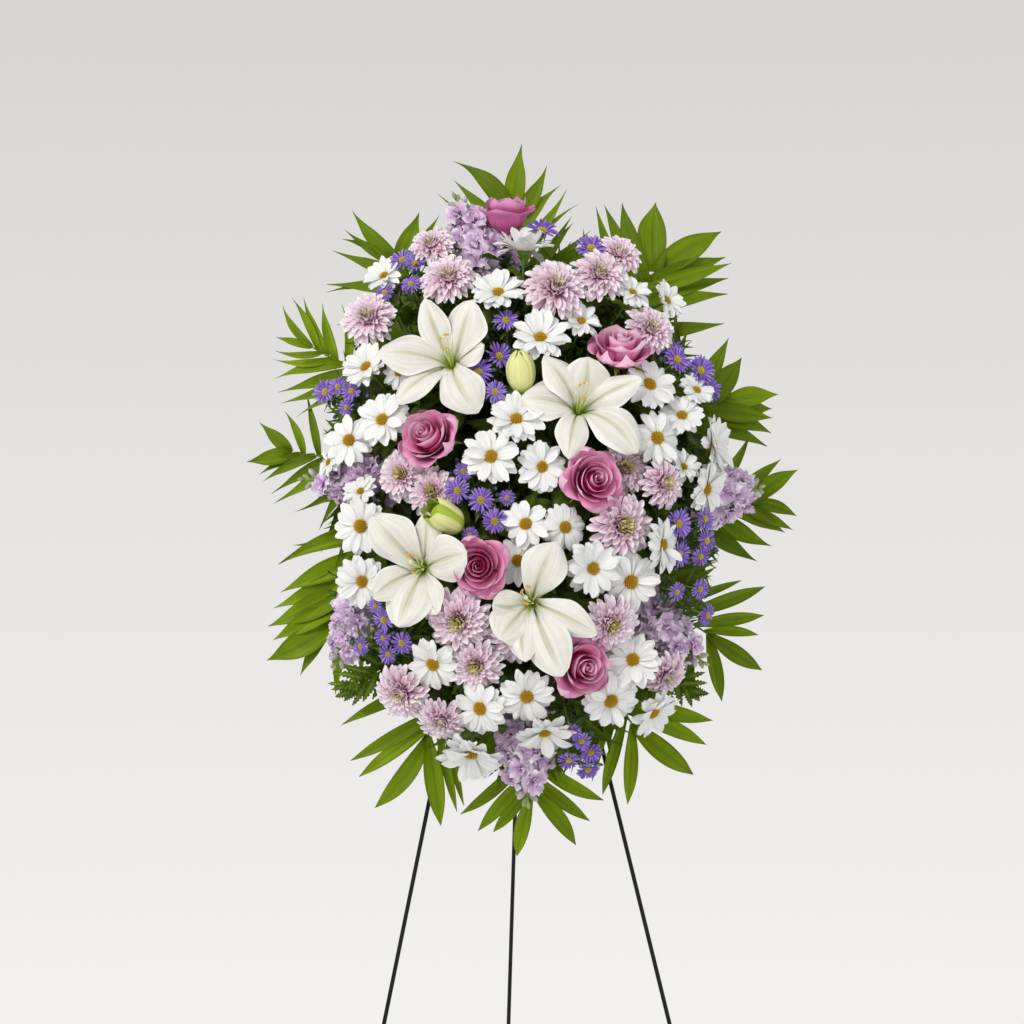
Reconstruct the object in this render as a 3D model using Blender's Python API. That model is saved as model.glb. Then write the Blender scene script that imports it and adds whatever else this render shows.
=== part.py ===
"""Standing funeral arrangement: an oval spray of cut flowers and palm fronds in a caged foam block, hung on a folding
wire easel. Metres, +Z up, the front faces -Y, origin on the floor under the middle of the bounding box."""

from math import cos, pi, radians, sin, sqrt

import bmesh
import bpy
import numpy as np
from mathutils import Matrix, Vector

for old in list(bpy.data.objects):
    bpy.data.objects.remove(old, do_unlink=True)

# ---------------------------------------------------------------- driving dimensions (metres)
GRID = 0.0012  # one unit of the front elevation that the tables below are drawn in, at the easel's plane
GRID_MID = (513.0, 512.0)  # elevation units of the easel's centre line at the height of MID
SIGHT = 3.4  # distance that the front elevation is drawn from
MID = Vector((-0.0106, -0.062, 1.217))  # point of the easel's front plane that the spray is set out from
LEAN = radians(9.0)  # the front frame leans back by this

WIRE_R = 0.0025  # easel wire
GAP = 0.0003  # running gap between touching pieces
LEG_DRAWN = (((430.2, 796.0), (383.9, 1024.0)), ((610.4, 782.2), (669.6, 1024.0)))
APEX_RISE = 0.045  # the two front wires run up side by side by this much
TOP_BAR_DROP = 0.110  # top bar below the apex
REAR_FOOT = (-0.0329, 0.363)  # x, y of the rear leg's foot
REAR_EYE_S = 0.0142  # place of the rear leg's eye along the top bar
CROSS_BAR_T = -0.150
HOOK_REACH, HOOK_RISE = 0.078, 0.034

FOAM_S, FOAM_T, FOAM_N = 0.100, 0.230, 0.078  # foam block, width, height, depth
FOAM_MID = (0.0085, 0.008)  # its middle, across and up the easel's plane
FOAM_BACK = 0.0108  # its back face in front of the easel's plane
TRAY_WALL, TRAY_HIGH = 0.0022, 0.020
CAGE_BAR = 0.0040
SOCKET_DEEP = 0.024
FROND_DEEP = 0.010
FROND_THICK = 0.0012
FACE_N = FOAM_BACK + FOAM_N
DOME_LOW, DOME_HIGH = 0.030, 0.120  # heads above the foam's face, at the rim and more in the middle

HEAD_FIT = 0.80  # size of a solid head against its open petals
BALL = {"rose": 0.86, "lily": 0.52, "bud": 0.85, "daisy": 0.72, "mum": 0.78, "aster": 0.85, "stock": 1.0}
NECK = {"rose": 0.55, "lily": 0.60, "bud": 0.90, "daisy": 0.28, "mum": 0.34, "aster": 0.45, "stock": 0.2}
STEM_R = {"rose": 0.0026, "lily": 0.0030, "daisy": 0.0016, "mum": 0.0017, "aster": 0.0012, "stock": 0.0030}

# piece, flower, elevation across, elevation down, radius (all in elevation units), extra height (mm), turn (across, up)
HEADS = [
    ("rose_top", "rose", 507, 219, 27, 4, (0.0, 2.4)),
    ("rose_right_high", "rose", 621, 348, 29, 6, (-0.3, 0.9)),
    ("rose_left", "rose", 426, 439, 33, 8, (-0.1, 0.2)),
    ("rose_right", "rose", 598, 483, 34, 6, (0.0, 0.0)),
    ("rose_centre", "rose", 480, 566, 32, 8, (0.1, 0.1)),
    ("rose_low", "rose", 587, 668, 33, 6, (0.2, 0.3)),
    ("lily_top_left", "lily", 442, 358, 58, 20, (0.0, 0.1)),
    ("lily_right", "lily", 578, 410, 60, 22, (0.0, 0.2)),
    ("lily_right", "bud", 520, 370, 24, 8, (-0.2, 2.0)),
    ("lily_left", "lily", 421, 563, 60, 22, (0.0, 0.0)),
    ("lily_left", "bud", 444, 517, 21, 14, (-0.7, 0.6)),
    ("lily_centre", "lily", 543, 606, 60, 24, (-0.3, 0.1)),
    ("daisy_top", "daisy", 524, 249, 29, 0, (0.1, 2.6)),
    ("daisy_top", "daisy", 499, 296, 28, 4, (0.0, 0.7)),
    ("daisy_top", "daisy", 540, 339, 30, 2, (0.0, 0.3)),
    ("daisy_top", "daisy", 581, 322, 22, -8, (0.2, 0.7)),
    ("daisy_top", "daisy", 630, 292, 22, 2, (0.5, 0.8)),
    ("daisy_top", "daisy", 666, 301, 21, -2, (1.4, 0.4)),
    ("daisy_left_high", "daisy", 386, 276, 22, 0, (-0.2, 0.3)),
    ("daisy_left_high", "daisy", 366, 369, 26, 4, (-0.3, 0.6)),
    ("daisy_left_high", "daisy", 399, 373, 20, -6, (0.2, -0.2)),
    ("daisy_left_high", "daisy", 382, 421, 30, 4, (0.3, 0.0)),
    ("daisy_left_high", "daisy", 350, 440, 28, 0, (0.4, -0.1)),
    ("daisy_left_high", "daisy", 329, 462, 16, -4, (-0.4, 0.2)),
    ("daisy_middle", "daisy", 516, 420, 31, 4, (0.0, 0.2)),
    ("daisy_middle", "daisy", 491, 457, 32, 6, (0.0, 0.1)),
    ("daisy_middle", "daisy", 542, 467, 28, 2, (-0.1, -0.1)),
    ("daisy_middle", "daisy", 527, 527, 27, 0, (-0.2, 0.2)),
    ("daisy_middle", "daisy", 514, 558, 27, -4, (0.0, 0.1)),
    ("daisy_middle", "daisy", 563, 527, 27, 0, (0.2, 0.0)),
    ("daisy_right_high", "daisy", 649, 385, 29, 2, (0.1, 0.3)),
    ("daisy_right_high", "daisy", 655, 440, 30, 4, (-0.2, 0.0)),
    ("daisy_right_high", "daisy", 682, 416, 25, 0, (-0.6, 0.2)),
    ("daisy_right_high", "daisy", 711, 445, 26, -2, (1.2, 0.0)),
    ("daisy_right_high", "daisy", 697, 391, 20, 0, (0.4, 1.0)),
    ("daisy_right_high", "daisy", 705, 489, 25, -2, (0.9, -0.5)),
    ("daisy_right_high", "daisy", 683, 468, 18, -6, (0.2, 0.4)),
    ("daisy_left", "daisy", 361, 525, 31, 2, (0.3, 0.0)),
    ("daisy_left", "daisy", 364, 584, 29, 0, (0.4, 0.0)),
    ("daisy_left", "daisy", 361, 493, 19, -6, (0.0, 0.9)),
    ("daisy_right", "daisy", 596, 570, 31, 4, (0.1, 0.0)),
    ("daisy_right", "daisy", 627, 580, 32, 0, (-0.1, 0.0)),
    ("daisy_right", "daisy", 661, 545, 24, 4, (0.9, 0.0)),
    ("daisy_low_left", "daisy", 434, 664, 29, 2, (0.0, 0.0)),
    ("daisy_low_left", "daisy", 479, 707, 30, 0, (-0.1, 0.3)),
    ("daisy_low_left", "daisy", 471, 752, 29, -2, (0.0, -1.2)),
    ("daisy_low_left", "daisy", 527, 697, 30, 2, (0.0, 0.1)),
    ("daisy_low_left", "daisy", 547, 730, 26, -2, (0.2, -1.2)),
    ("daisy_low_right", "daisy", 631, 655, 31, 0, (-0.5, 0.6)),
    ("daisy_low_right", "daisy", 608, 697, 31, 4, (0.0, 0.2)),
    ("daisy_low_right", "daisy", 653, 712, 24, -2, (0.8, -0.8)),
    ("mum_top_left", "mum", 431, 246, 23, 0, (-0.2, 0.9)),
    ("mum_top_left", "mum", 449, 278, 28, 2, (0.0, 0.4)),
    ("mum_top_left", "mum", 372, 314, 28, 0, (0.0, 0.2)),
    ("mum_top_right", "mum", 557, 288, 33, 2, (0.0, 0.4)),
    ("mum_top_right", "mum", 600, 274, 28, 0, (0.2, 0.3)),
    ("mum_top_right", "mum", 618, 254, 23, -4, (0.5, 0.9)),
    ("mum_top_right", "mum", 650, 331, 26, 0, (0.3, 0.4)),
    ("mum_left", "mum", 434, 492, 23, -4, (0.0, 0.2)),
    ("mum_left", "mum", 403, 473, 23, -4, (-0.3, 0.2)),
    ("mum_right", "mum", 625, 466, 27, -8, (0.2, 0.3)),
    ("mum_right", "mum", 664, 483, 25, 0, (0.3, 0.0)),
    ("mum_right", "mum", 623, 524, 33, 2, (0.1, 0.0)),
    ("mum_centre", "mum", 459, 621, 32, 2, (0.0, 0.0)),
    ("mum_centre", "mum", 516, 634, 27, -4, (0.1, 0.0)),
    ("mum_centre", "mum", 475, 667, 26, -2, (0.0, 0.2)),
    ("mum_low_left", "mum", 402, 692, 29, 0, (-0.2, -0.2)),
    ("mum_low_left", "mum", 443, 719, 24, 0, (0.0, -0.4)),
    ("mum_low_right", "mum", 612, 632, 29, -2, (0.1, 0.0)),
    ("mum_low_right", "mum", 664, 674, 23, -4, (0.4, -0.5)),
    ("aster_left_high", "aster", 402, 262, 10, 0, (0.0, 0.3)),
    ("aster_left_high", "aster", 415, 263, 9, 0, (0.2, 0.5)),
    ("aster_left_high", "aster", 411, 284, 10, 4, (0.0, 0.2)),
    ("aster_left_high", "aster", 382, 296, 10, 0, (0.0, 0.2)),
    ("aster_left_high", "aster", 326, 392, 10, 0, (-0.2, 0.2)),
    ("aster_left_high", "aster", 338, 387, 10, 2, (0.0, 0.2)),
    ("aster_left_high", "aster", 352, 391, 10, 2, (0.0, 0.0)),
    ("aster_left_high", "aster", 347, 406, 9, 0, (0.0, -0.2)),
    ("aster_top", "aster", 541, 232, 13, 0, (0.2, 1.2)),
    ("aster_top", "aster", 593, 251, 13, 0, (0.2, 0.6)),
    ("aster_top", "aster", 505, 318, 12, 0, (0.0, 0.2)),
    ("aster_top", "aster", 470, 329, 12, -2, (-0.1, 0.4)),
    ("aster_top", "aster", 476, 371, 14, 2, (0.0, 0.0)),
    ("aster_top", "aster", 495, 392, 11, 2, (0.0, 0.0)),
    ("aster_top", "aster", 500, 357, 11, 0, (0.9, 0.3)),
    ("aster_right_high", "aster", 671, 349, 11, 0, (0.0, 0.5)),
    ("aster_right_high", "aster", 676, 359, 11, 2, (0.3, 0.2)),
    ("aster_right_high", "aster", 700, 371, 12, 0, (0.3, 0.2)),
    ("aster_right_high", "aster", 709, 389, 10, 0, (0.9, 0.2)),
    ("aster_middle", "aster", 464, 471, 9, 0, (0.0, 0.0)),
    ("aster_middle", "aster", 456, 491, 12, 2, (0.0, 0.0)),
    ("aster_middle", "aster", 481, 500, 12, 2, (0.0, 0.0)),
    ("aster_middle", "aster", 495, 521, 12, 2, (0.0, -0.2)),
    ("aster_middle", "aster", 470, 535, 8, 2, (0.0, 0.0)),
    ("aster_middle", "aster", 507, 498, 8, -4, (0.0, 0.4)),
    ("aster_right", "aster", 678, 524, 14, 2, (0.0, 0.0)),
    ("aster_right", "aster", 705, 519, 11, 0, (0.2, 0.1)),
    ("aster_right", "aster", 706, 542, 11, 0, (0.1, 0.0)),
    ("aster_right", "aster", 677, 552, 12, 2, (0.0, -0.1)),
    ("aster_right", "aster", 701, 555, 10, 0, (0.0, -0.4)),
    ("aster_right", "aster", 677, 592, 9, 0, (0.0, 0.0)),
    ("aster_right", "aster", 700, 589, 10, 2, (0.1, 0.0)),
    ("aster_right", "aster", 707, 615, 9, 0, (0.9, -0.4)),
    ("aster_low_left", "aster", 384, 622, 11, 0, (0.0, 0.1)),
    ("aster_low_left", "aster", 384, 637, 9, 0, (0.0, 0.0)),
    ("aster_low_left", "aster", 402, 643, 11, 2, (0.0, 0.0)),
    ("aster_low_left", "aster", 388, 652, 10, 0, (0.0, -0.1)),
    ("aster_low_left", "aster", 361, 646, 9, 0, (-0.3, 0.2)),
    ("aster_low_left", "aster", 374, 603, 8, -2, (0.0, 0.3)),
    ("aster_low", "aster", 571, 734, 9, -2, (0.0, 0.0)),
    ("aster_low", "aster", 581, 741, 9, 0, (0.0, 0.2)),
    ("aster_low", "aster", 589, 751, 11, 0, (0.0, 0.0)),
    ("aster_low", "aster", 569, 760, 10, 0, (-0.1, -0.2)),
    ("aster_low", "aster", 588, 768, 9, -2, (0.1, -0.6)),
]
# piece, elevation of the spike's foot and tip, radius, height of foot and tip above the foam's face (mm)
SPIKES = [
    ("stock_top", (492, 268), (455, 200), 19, 50, 44),
    ("stock_left", (392, 481), (304, 482), 19, 58, 30),
    ("stock_right", (700, 500), (759, 488), 20, 40, 30),
    ("stock_low_left", (364, 604), (336, 668), 17, 34, 30),
    ("stock_low_right", (640, 616), (704, 664), 19, 46, 30),
    ("stock_low", (522, 720), (528, 804), 20, 46, 32),
]
# piece, layer, rachis foot, bend and end, then leaflets in order round the frond: (place along the rachis, tip, width)
FRONDS = [
    ("frond_upper_left", 0, (488, 425), (445, 330), (398, 262),
     [(0.66, (336, 322), 10), (0.76, (325, 291), 9), (0.82, (326, 283), 13), (0.88, (333, 252), 12), (0.93, (338, 237), 10), (0.97, (344, 229), 10), (1.0, (352, 210), 14),
      (1.0, (419, 210), 18), (0.92, (440, 213), 11)]),
    ("frond_left_high", 2, (479, 445), (400, 395), (312, 347),
     [(0.60, (294, 417), 10), (0.68, (278, 403), 12), (0.75, (278, 392), 13), (0.82, (274, 378), 12), (0.88, (272, 359), 8), (0.94, (274, 350), 7), (1.0, (274, 336), 8),
      (1.0, (282, 303), 8), (0.96, (291, 296), 8), (0.91, (303, 295), 9), (0.86, (322, 301), 10), (0.80, (341, 303), 9)]),
    ("frond_left", 1, (478, 478), (385, 462), (291, 453),
     [(0.62, (294, 513), 11), (0.72, (273, 502), 12), (0.80, (271, 493), 10), (0.87, (262, 482), 10), (0.94, (259, 474), 9), (1.0, (246, 461), 16),
      (1.0, (259, 422), 13), (0.93, (284, 410), 8), (0.85, (306, 391), 8)]),
    ("frond_left_low", 3, (478, 514), (380, 520), (333, 622),
     [(0.66, (362, 680), 12), (0.84, (335, 694), 12), (1.0, (300, 676), 9), (1.0, (267, 661), 20), (0.92, (273, 641), 14), (0.80, (268, 627), 18), (0.68, (273, 608), 15), (0.57, (280, 593), 16),
      (0.43, (279, 566), 14), (0.28, (292, 546), 12)]),
    ("frond_bottom_left", 0, (494, 601), (470, 670), (428, 735),
     [(0.80, (464, 806), 9), (0.90, (457, 812), 10), (1.0, (441, 826), 20), (1.0, (375, 808), 20), (0.90, (359, 777), 15), (0.78, (350, 761), 15), (0.56, (341, 725), 14)]),
    ("frond_bottom", 2, (524, 601), (528, 700), (531, 796),
     [(0.80, (604, 800), 15), (0.88, (590, 821), 14), (0.96, (576, 845), 17), (1.0, (517, 856), 16), (0.95, (493, 832), 13), (0.88, (478, 831), 15), (0.78, (460, 814), 13)]),
    ("frond_bottom_right", 1, (553, 601), (596, 668), (632, 724),
     [(0.74, (713, 720), 18), (0.86, (707, 744), 17), (1.0, (693, 775), 22), (1.0, (628, 804), 15), (0.92, (603, 794), 13), (0.80, (592, 782), 7)]),
    ("frond_right_low", 3, (562, 566), (640, 588), (708, 634),
     [(0.70, (742, 580), 9), (0.80, (766, 585), 15), (0.90, (764, 615), 14), (0.97, (758, 635), 11), (1.0, (762, 670), 18), (1.0, (722, 701), 15), (0.86, (690, 700), 12)]),
    ("frond_right", 0, (562, 514), (655, 508), (748, 504),
     [(0.72, (751, 431), 9), (0.88, (782, 458), 10), (1.0, (798, 470), 15), (1.0, (798, 516), 11), (0.94, (794, 530), 10), (0.87, (786, 533), 13), (0.78, (772, 546), 15), (0.68, (758, 562), 15)]),
    ("frond_right_high", 2, (562, 462), (645, 420), (724, 404),
     [(0.74, (729, 337), 13), (0.88, (742, 357), 16), (1.0, (778, 395), 14), (0.95, (773, 407), 13), (0.88, (773, 419), 13), (0.80, (772, 432), 14), (0.71, (768, 445), 13)]),
    ("frond_upper_right", 1, (552, 425), (605, 345), (655, 272),
     [(0.74, (596, 202), 9), (0.84, (604, 206), 12), (0.92, (622, 203), 15), (1.0, (656, 200), 24), (1.0, (721, 232), 22), (0.94, (726, 256), 15), (0.87, (731, 265), 13), (0.79, (729, 276), 13), (0.70, (728, 293), 14), (0.58, (724, 324), 14)]),
    ("frond_top", 3, (520, 409), (516, 320), (512, 216),
     [(0.70, (437, 192), 11), (0.78, (449, 185), 8), (0.86, (452, 176), 14), (0.97, (453, 160), 19), (1.0, (522, 142), 20), (0.97, (547, 165), 16), (0.87, (561, 184), 14), (0.79, (567, 188), 11), (0.68, (581, 203), 9)]),
]
FERNS = [
    ("fern_low_left", 6, (482, 596), (430, 640), (352, 690),
     [(0.62, (392, 690), 12), (0.76, (372, 700), 12), (0.90, (352, 706), 12), (1.0, (335, 697), 11), (0.96, (327, 683), 12), (0.84, (333, 662), 12), (0.72, (345, 640), 12)]),
    ("fern_low_right", 6, (558, 590), (620, 640), (690, 690),
     [(0.60, (676, 636), 12), (0.74, (694, 652), 12), (0.88, (706, 672), 12), (1.0, (709, 694), 11), (0.96, (692, 708), 12), (0.84, (672, 706), 12), (0.70, (648, 694), 12)]),
]

# ---------------------------------------------------------------- setting out
ACROSS = Vector((1, 0, 0))
UP = Vector((0, sin(LEAN), cos(LEAN)))
OUT = Vector((0, -cos(LEAN), sin(LEAN)))


def world(s, t, n):
    return MID + ACROSS * s + UP * t + OUT * n


def seen(across, down, n):
    """The point of the plane n in front of the easel that the front elevation shows at (across, down)."""
    dx = (across - GRID_MID[0]) * GRID / SIGHT
    dz = (GRID_MID[1] - down) * GRID / SIGHT
    eye_n, eye_t = SIGHT * cos(LEAN), -SIGHT * sin(LEAN)
    ray_n = -cos(LEAN) + dz * sin(LEAN)
    ray_t = sin(LEAN) + dz * cos(LEAN)
    k = (n - eye_n) / ray_n
    return np.array([dx * k, eye_t + ray_t * k, n])


def unit(v):
    return v / np.linalg.norm(v)


class Head:
    def __init__(self, piece, flower, at, radius, turn, axis=None):
        self.piece, self.flower, self.at, self.r = piece, flower, at, radius
        self.turn, self.axis = turn, axis


SPRAY_MID = seen(520, 500, FACE_N)


def set_out():
    """Heads and stems: each head is eased clear of its neighbours, then each stem is eased clear of other stems."""
    heads = []
    for piece, flower, across, down, radius, lift, turn in HEADS:
        r2 = min(1.0, ((across - 520) / 225) ** 2 + ((down - 500) / 320) ** 2)
        n = FACE_N + DOME_LOW + DOME_HIGH * sqrt(1 - r2) + lift / 1000
        at = seen(across, down, n)
        side = (at - SPRAY_MID)[:2] / np.array([0.27, 0.37])
        facing = unit(np.array([0.95 * side[0] + turn[0], 0.95 * side[1] + turn[1], 1.0]))
        heads.append(Head(piece, flower, at, radius * GRID * (SIGHT - n) / SIGHT, facing))
    for piece, foot, tip, radius, foot_mm, tip_mm in SPIKES:
        a, b = seen(*foot, FACE_N + foot_mm / 1000), seen(*tip, FACE_N + tip_mm / 1000)
        for k in range(4):
            at = a + (b - a) * (k + 0.35) / 4.1
            heads.append(Head(piece, "stock", at, radius * GRID * (1.0 - 0.12 * k) * 0.9, unit(b - a), (a, b)))
    at = np.array([h.at for h in heads])
    ball = np.array([h.r * BALL[h.flower] for h in heads])
    same = np.array([[a.piece == b.piece and a.flower == "stock" for b in heads] for a in heads])
    firm = np.array([h.flower == "stock" for h in heads])
    rest = at.copy()
    for _ in range(160):
        gap = at[:, None] - at[None]
        far = np.linalg.norm(gap, axis=2) + np.eye(len(heads))
        need = ball[:, None] + ball[None] + 0.0012 - far
        need[np.eye(len(heads), dtype=bool) | same] = 0
        need = np.clip(need, 0, None)
        push = gap * np.array([0.45, 0.45, 1.0])
        push[..., 2] += np.sign(gap[..., 2] + 1e-9) * 0.004
        push /= np.linalg.norm(push, axis=2, keepdims=True) + 1e-9
        move = (push * need[..., None] * 0.3).sum(1)
        move[firm] *= 0.0
        at += move + (rest - at) * 0.02
        at[:, 2] = np.maximum(at[:, 2], FACE_N + 0.020)
    for h, p in zip(heads, at):
        h.at = p
    return heads


heads = set_out()
pieces = {}
for h in heads:
    pieces.setdefault(h.piece, []).append(h)


def sockets():
    """Each stem's place on the foam's face, from a grid that leaves the cage's bars clear."""
    places = [(s * 0.018, t * 0.019) for s in range(-2, 3) for t in range(-5, 6)]
    want = {}
    for piece, own in pieces.items():
        middle = np.mean([h.at for h in own], axis=0) - SPRAY_MID
        want[piece] = (middle[0] * 0.14, middle[1] * 0.27)
    free, got = list(places), {}
    for piece in sorted(want, key=lambda p: -abs(want[p][0]) - abs(want[p][1])):
        best = min(free, key=lambda q: (q[0] - want[piece][0]) ** 2 + (q[1] - want[piece][1]) ** 2)
        free.remove(best)
        got[piece] = best
    names = sorted(got)
    cost = lambda p, q: (q[0] - want[p][0]) ** 2 + (q[1] - want[p][1]) ** 2
    for _ in range(6):
        for i, a in enumerate(names):
            for b in names[i + 1 :]:
                if cost(a, got[b]) + cost(b, got[a]) < cost(a, got[a]) + cost(b, got[b]) - 1e-9:
                    got[a], got[b] = got[b], got[a]
    return got


socket = sockets()


def closest(p, q, r, s):
    """Nearest points of many pairs of lines, as places 0..1 along each, and the step between them."""
    d1, d2, w = q - p, s - r, p - r
    a, e = (d1 * d1).sum(-1), (d2 * d2).sum(-1)
    b, c, f = (d1 * d2).sum(-1), (d1 * w).sum(-1), (d2 * w).sum(-1)
    den = a * e - b * b
    u = np.clip(np.where(den > 1e-14, (b * f - c * e) / np.maximum(den, 1e-14), 0.5), 0, 1)
    v = np.clip((b * u + f) / np.maximum(e, 1e-14), 0, 1)
    u = np.clip((b * v - c) / np.maximum(a, 1e-14), 0, 1)
    return u, v, (p + d1 * u[..., None]) - (r + d2 * v[..., None])


def stems():
    """points, free flags, segments (piece, from, to, radius) and the point lists that each head's branch follows."""
    points, loose, parts, runs = [], [], [], {}

    def add(p, moves):
        points.append(np.array(p, float))
        loose.append(moves)
        return len(points) - 1

    for name, own in pieces.items():
        s, t = socket[name]
        s, t = s + FOAM_MID[0], t + FOAM_MID[1]
        first = add((s, t, FACE_N - SOCKET_DEEP + 0.001), False)
        second = add((s, t, FACE_N + 0.007), False)
        if own[0].flower == "stock":
            a, b = own[0].axis
            ends = [(own[0], a, unit(b - a))]
            ends = [(own[0], a + unit(b - a) * 0.004, unit(b - a))]
        else:
            ends = [(h, h.at - h.turn * h.r * NECK[h.flower], h.turn) for h in own]
        elbows = [base - facing * min(0.035, 0.3 * np.linalg.norm(base - points[second])) for _, base, facing in ends]
        fork = points[second] + (np.mean(elbows, axis=0) - points[second]) * (0.42 if len(ends) > 1 else 0.5)
        third = add(fork, True)
        trunk = STEM_R[own[0].flower] * (1.35 if len(ends) > 1 else 1.0)
        parts += [(name, first, second, trunk), (name, second, third, trunk)]
        runs[name] = {"trunk": [first, second, third], "trunk_r": trunk, "branches": []}
        for (h, base, facing), elbow in zip(ends, elbows):
            r = STEM_R["lily" if h.flower == "bud" else h.flower] * (0.8 if h.flower == "bud" else 1.0)
            fourth, fifth = add(elbow, True), add(base, False)
            parts += [(name, third, fourth, r), (name, fourth, fifth, r)]
            runs[name]["branches"].append((h, [third, fourth, fifth], r))
    P = np.array(points)
    free = np.array(loose)
    names = sorted(pieces)
    who = np.array([names.index(x[0]) for x in parts])
    i0, i1 = np.array([x[1] for x in parts]), np.array([x[2] for x in parts])
    R = np.array([x[3] for x in parts])
    home = P.copy()
    A, B = np.triu_indices(len(parts), 1)
    keep = who[A] != who[B]
    A, B = A[keep], B[keep]
    ball_at = np.array([h.at for h in heads])
    ball_r = np.array([h.r * (0.62 if h.flower in ("daisy", "aster") else 0.78 if h.flower in ("rose", "mum") else 0.40 if h.flower == "lily" else 1.08) for h in heads])
    ball_who = np.array([names.index(h.piece) for h in heads])
    SA, HB = [g.ravel() for g in np.meshgrid(np.arange(len(parts)), np.arange(len(heads)), indexing="ij")]
    keep = who[SA] != ball_who[HB]
    SA, HB = SA[keep], HB[keep]
    worst = 0.0
    for turn in range(500):
        move, load = np.zeros_like(P), np.zeros(len(P))
        u, v, step = closest(P[i0[A]], P[i1[A]], P[i0[B]], P[i1[B]])
        far = np.linalg.norm(step, axis=1)
        need = R[A] + R[B] + 0.0014 - far
        hit = need > 0
        worst = need.max()
        push = step[hit] / np.maximum(far[hit], 1e-6)[:, None] * need[hit][:, None] * 0.5
        for idx, w, sign in ((i0[A[hit]], 1 - u[hit], 1), (i1[A[hit]], u[hit], 1), (i0[B[hit]], 1 - v[hit], -1), (i1[B[hit]], v[hit], -1)):
            np.add.at(move, idx, push * (w * sign)[:, None] * 1.6)
        c = ball_at[HB]
        p, q = P[i0[SA]], P[i1[SA]]
        d = q - p
        k = np.clip(((c - p) * d).sum(1) / np.maximum((d * d).sum(1), 1e-12), 0, 1)
        step = p + d * k[:, None] - c
        far = np.linalg.norm(step, axis=1)
        need = ball_r[HB] + R[SA] + 0.0010 - far
        hit = need > 0
        push = step[hit] / np.maximum(far[hit], 1e-6)[:, None] * need[hit][:, None]
        for idx, w in ((i0[SA[hit]], 1 - k[hit]), (i1[SA[hit]], k[hit])):
            np.add.at(move, idx, push * w[:, None])
        size = np.linalg.norm(move, axis=1)
        move *= np.minimum(1, 0.004 / np.maximum(size, 1e-9))[:, None]
        P[free] += move[free] + (home - P)[free] * 0.002
        low = free & (P[:, 2] < FACE_N + 0.010)
        P[low, 2] = FACE_N + 0.010
    return P, runs


P, runs = stems()

# ---------------------------------------------------------------- building helpers
model = bpy.data.collections.new("standing_funeral_arrangement")
bench = bpy.data.collections.new("cutters")
bpy.context.scene.collection.children.link(model)
bpy.context.scene.collection.children.link(bench)
bench.hide_render = True

SKINS = {
    "easel_wire": ((0.012, 0.022, 0.016), 0.35, 0.6),
    "tray_plastic": ((0.03, 0.09, 0.04), 0.55, 0.0),
    "foam": ((0.05, 0.16, 0.07), 0.95, 0.0),
    "palm": ((0.16, 0.33, 0.02), 0.45, 0.0),
    "fern": ((0.03, 0.11, 0.02), 0.6, 0.0),
    "rose": ((0.72, 0.25, 0.47), 0.55, 0.0),
    "lily": ((0.85, 0.84, 0.76), 0.5, 0.0),
    "daisy": ((0.88, 0.88, 0.86), 0.55, 0.0),
    "mum": ((0.76, 0.55, 0.70), 0.6, 0.0),
    "aster": ((0.25, 0.14, 0.62), 0.6, 0.0),
    "stock": ((0.62, 0.46, 0.72), 0.6, 0.0),
}


def skin(name):
    if name in bpy.data.materials:
        return bpy.data.materials[name]
    colour, rough, metal = SKINS[name]
    made = bpy.data.materials.new(name)
    made.use_nodes = True
    bsdf = made.node_tree.nodes["Principled BSDF"]
    bsdf.inputs["Base Color"].default_value = (*colour, 1)
    bsdf.inputs["Roughness"].default_value = rough
    bsdf.inputs["Metallic"].default_value = metal
    return made


def without_specks(shape):
    """Drops any loose crumb under a tenth of a cubic millimetre."""
    b = bmesh.new()
    b.from_mesh(shape)
    left, drop = set(b.verts), []
    while left:
        seed = left.pop()
        island, edge = {seed}, [seed]
        while edge:
            for e in edge.pop().link_edges:
                for v in e.verts:
                    if v in left:
                        left.discard(v)
                        island.add(v)
                        edge.append(v)
        low = Vector([min(v.co[i] for v in island) for i in range(3)])
        high = Vector([max(v.co[i] for v in island) for i in range(3)])
        if (high - low).length < 0.0012:
            drop += island
    bmesh.ops.delete(b, geom=drop, context="VERTS")
    b.to_mesh(shape)
    b.free()


def place(mesh, name, collection=bench):
    obj = bpy.data.objects.new(name, mesh)
    collection.objects.link(obj)
    if collection is bench:
        obj.hide_render = True
        obj.display_type = "WIRE"
    return obj


def solid(obj, sew=True):
    """The object's evaluated mesh in world space, sewn and facing out, with the object itself taken away."""
    bpy.context.view_layer.update()
    shape = bpy.data.meshes.new_from_object(obj.evaluated_get(bpy.context.evaluated_depsgraph_get()))
    shape.transform(obj.matrix_world)
    bpy.data.objects.remove(obj, do_unlink=True)
    b = bmesh.new()
    b.from_mesh(shape)
    if sew:
        bmesh.ops.remove_doubles(b, verts=b.verts, dist=1e-6)
    bmesh.ops.recalc_face_normals(b, faces=b.faces)
    b.to_mesh(shape)
    b.free()
    return shape


def tube(points, radius, name="tube", sides=1, closed=False):
    """Round wire through the points, which are in the spray's own axes."""
    curve = bpy.data.curves.new(name, "CURVE")
    curve.dimensions = "3D"
    curve.bevel_depth = radius
    curve.bevel_resolution = sides
    curve.use_fill_caps = True
    line = curve.splines.new("POLY")
    line.points.add(len(points) - 1)
    for spot, p in zip(line.points, points):
        spot.co = (*world(*p), 1)
    line.use_cyclic_u = closed
    return place(solid(place(curve, name)), name)


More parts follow.
